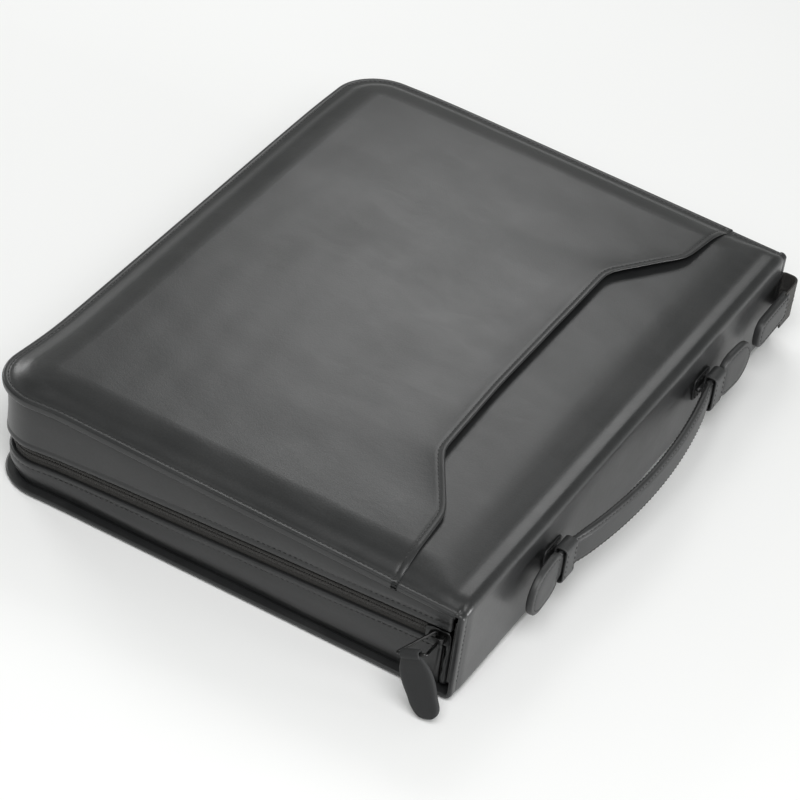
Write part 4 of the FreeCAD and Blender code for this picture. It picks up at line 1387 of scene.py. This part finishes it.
def pen_loop():
    """Elastic loop for a pen, beside the organizer."""
    at_x, at_z, radius, thin = 156, COVER_Z - 6.2, 6.1, 0.86
    turn = turns(0, 360, 41)[:-1]
    outer = []
    for y in np.linspace(10, 44, 18):
        wide = radius * (1 + 0.035 * math.cos((y - 27) * 0.32))
        outer.append(xyz(at_x + wide * np.sin(turn), y, at_z + radius * np.cos(turn)))
    middle = np.array([at_x, 0, at_z])
    inner = [middle + (row - middle) * (thin, 1, thin) for row in outer[::-1]]
    b = Build()
    b.grid(cover_tilt(np.array(outer + inner)), wrap_rows=True, wrap_cols=True)
    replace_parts(b.make("pen_loop_leather", LINING, "front_cover", "lining"), "pen_loop")


RING_X = (-120.0, -40.0, 40.0, 120.0)
RING_Y, RING_Z, RING_R, WIRE_R = -104.0, 18.0, 15.0, 1.5
BLADE_Z = (6.4, 7.4)


def rings():
    """Two blades, each with its half rings, whose tips are rounded."""
    root = 90 + math.degrees(math.asin((RING_Z - 7.1) / RING_R))
    t = turns(2.4, root, 40)
    r = np.full(len(t), WIRE_R)
    r[:3] = (0.7, 1.2, 1.42)
    section = circle(1.0, 14)[None] * r[:, None, None]
    for word, side in (("a", -1), ("b", 1)):
        b = Build()
        for x in RING_X:
            path = xyz(x, RING_Y + side * RING_R * np.sin(t), RING_Z + RING_R * np.cos(t))
            b.tube(sweep(path, section, (1, 0, 0)))
        y0, y1 = sorted((RING_Y + side * 0.35, RING_Y + side * 12.6))
        for x0, x1 in ((-136, -83.2), (-76.8, 76.8), (83.2, 136)):
            brick(b, (x0, y0, BLADE_Z[0]), (x1, y1, BLADE_Z[1]), 0.5)
        y0, y1 = sorted((RING_Y + side * 3.4, RING_Y + side * 12.6))
        for x in (-80, 80):
            brick(b, (x - 4, y0, BLADE_Z[0] + 0.02), (x + 4, y1, BLADE_Z[1] - 0.02), 0.4)
        obj = b.make("half_rings_" + word, STEEL, "ring_half_" + word, "steel")
        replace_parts(obj, "ring_blade_" + word)


# ---------------------------------------------------------------- camera, light, floor
CAMERA_AT, CAMERA_AIM = (-1.26273, -0.58778, 1.12824), (-0.04274, -0.02164, 0.04)
CAMERA_ROLL, CAMERA_LENS, SENSOR = 8.431, 153.08, 36.0


def added(name, data, place, aim, roll=0.0):
    """Camera or light at a place, turned to its aim and then rolled by some degrees."""
    obj = bpy.data.objects.new(name, data)
    bpy.context.scene.collection.objects.link(obj)
    obj.location = place
    obj.rotation_mode = "QUATERNION"
    turn = (Vector(aim) - Vector(place)).to_track_quat("-Z", "Y")
    obj.rotation_quaternion = turn @ Quaternion((0, 0, 1), math.radians(roll))
    return obj


def camera():
    data = bpy.data.cameras.new("camera")
    data.sensor_width = SENSOR
    data.lens = CAMERA_LENS
    data.clip_start, data.clip_end = 0.05, 30
    bpy.context.scene.camera = added("camera", data, CAMERA_AT, CAMERA_AIM, CAMERA_ROLL)


def area_light(name, place, aim, size, power):
    data = bpy.data.lights.new(name, "AREA")
    data.shape = "RECTANGLE"
    data.size, data.size_y = size
    data.energy = power
    added(name, data, place, aim)


def studio():
    world = bpy.data.worlds.new("studio")
    bpy.context.scene.world = world
    world.use_nodes = True
    back = world.node_tree.nodes["Background"]
    back.inputs[0].default_value = (0.97, 1.0, 0.96, 1)
    back.inputs[1].default_value = 0.30
    area_light("key", (0.84, 0.34, 0.86), (0.04, -0.02, 0.05), (0.4, 0.4), 2.5)
    area_light("top", (-0.9, -0.5, 1.5), (0, 0, 0.03), (1.2, 1.2), 25)
    area_light("side", (0.15, -1.5, 0.10), (0, -0.1, 0.03), (0.35, 0.2), 12)
    area_light("fore", (0.5, 1.35, 0.62), (0, 0.0, 0.05), (0.5, 0.3), 4.5)
    half = 6.0
    corners = [(x, y, 0) for x, y in rectangle(-half, -half, half, half)]
    mesh = bpy.data.meshes.new("floor")
    mesh.from_pydata(corners, [], [(0, 1, 2, 3)])
    floor = bpy.data.objects.new("floor", mesh)
    bpy.context.scene.collection.objects.link(floor)
    floor.location.z = -0.0006      # just under the case, so that the two faces don't meet
    p = Paint("floor")
    mottle = p.noise(300, 2.0)
    p.set(Base_Color=p.mix(mottle, (0.9, 0.9, 0.9, 1), (0.93, 0.93, 0.93, 1)))
    p.rough(mottle, 0.8, 0.9)
    mesh.materials.append(p.done())
    bpy.context.scene.view_settings.view_transform = "Standard"


camera()
studio()
cover_skin()
back_skin()
pocket_skin()
lower_parts()
upper_parts()
zip_parts()
gusset_folds()
cover_stitches()
back_and_spine_stitches()
cover_pad()
handle_parts()
tail_tape()
end_tab()
slider_parts()
pull_parts()
linings()
pockets()
pen_loop()
rings()
repaint(STEEL, "ring_housing", "ring_rivets", "ring_lever_near", "ring_lever_far")
repaint(ZIP_METAL, "zip_stops")
repaint(CLEAR, "display_sleeves")
repaint(CARD, "insert_cards")
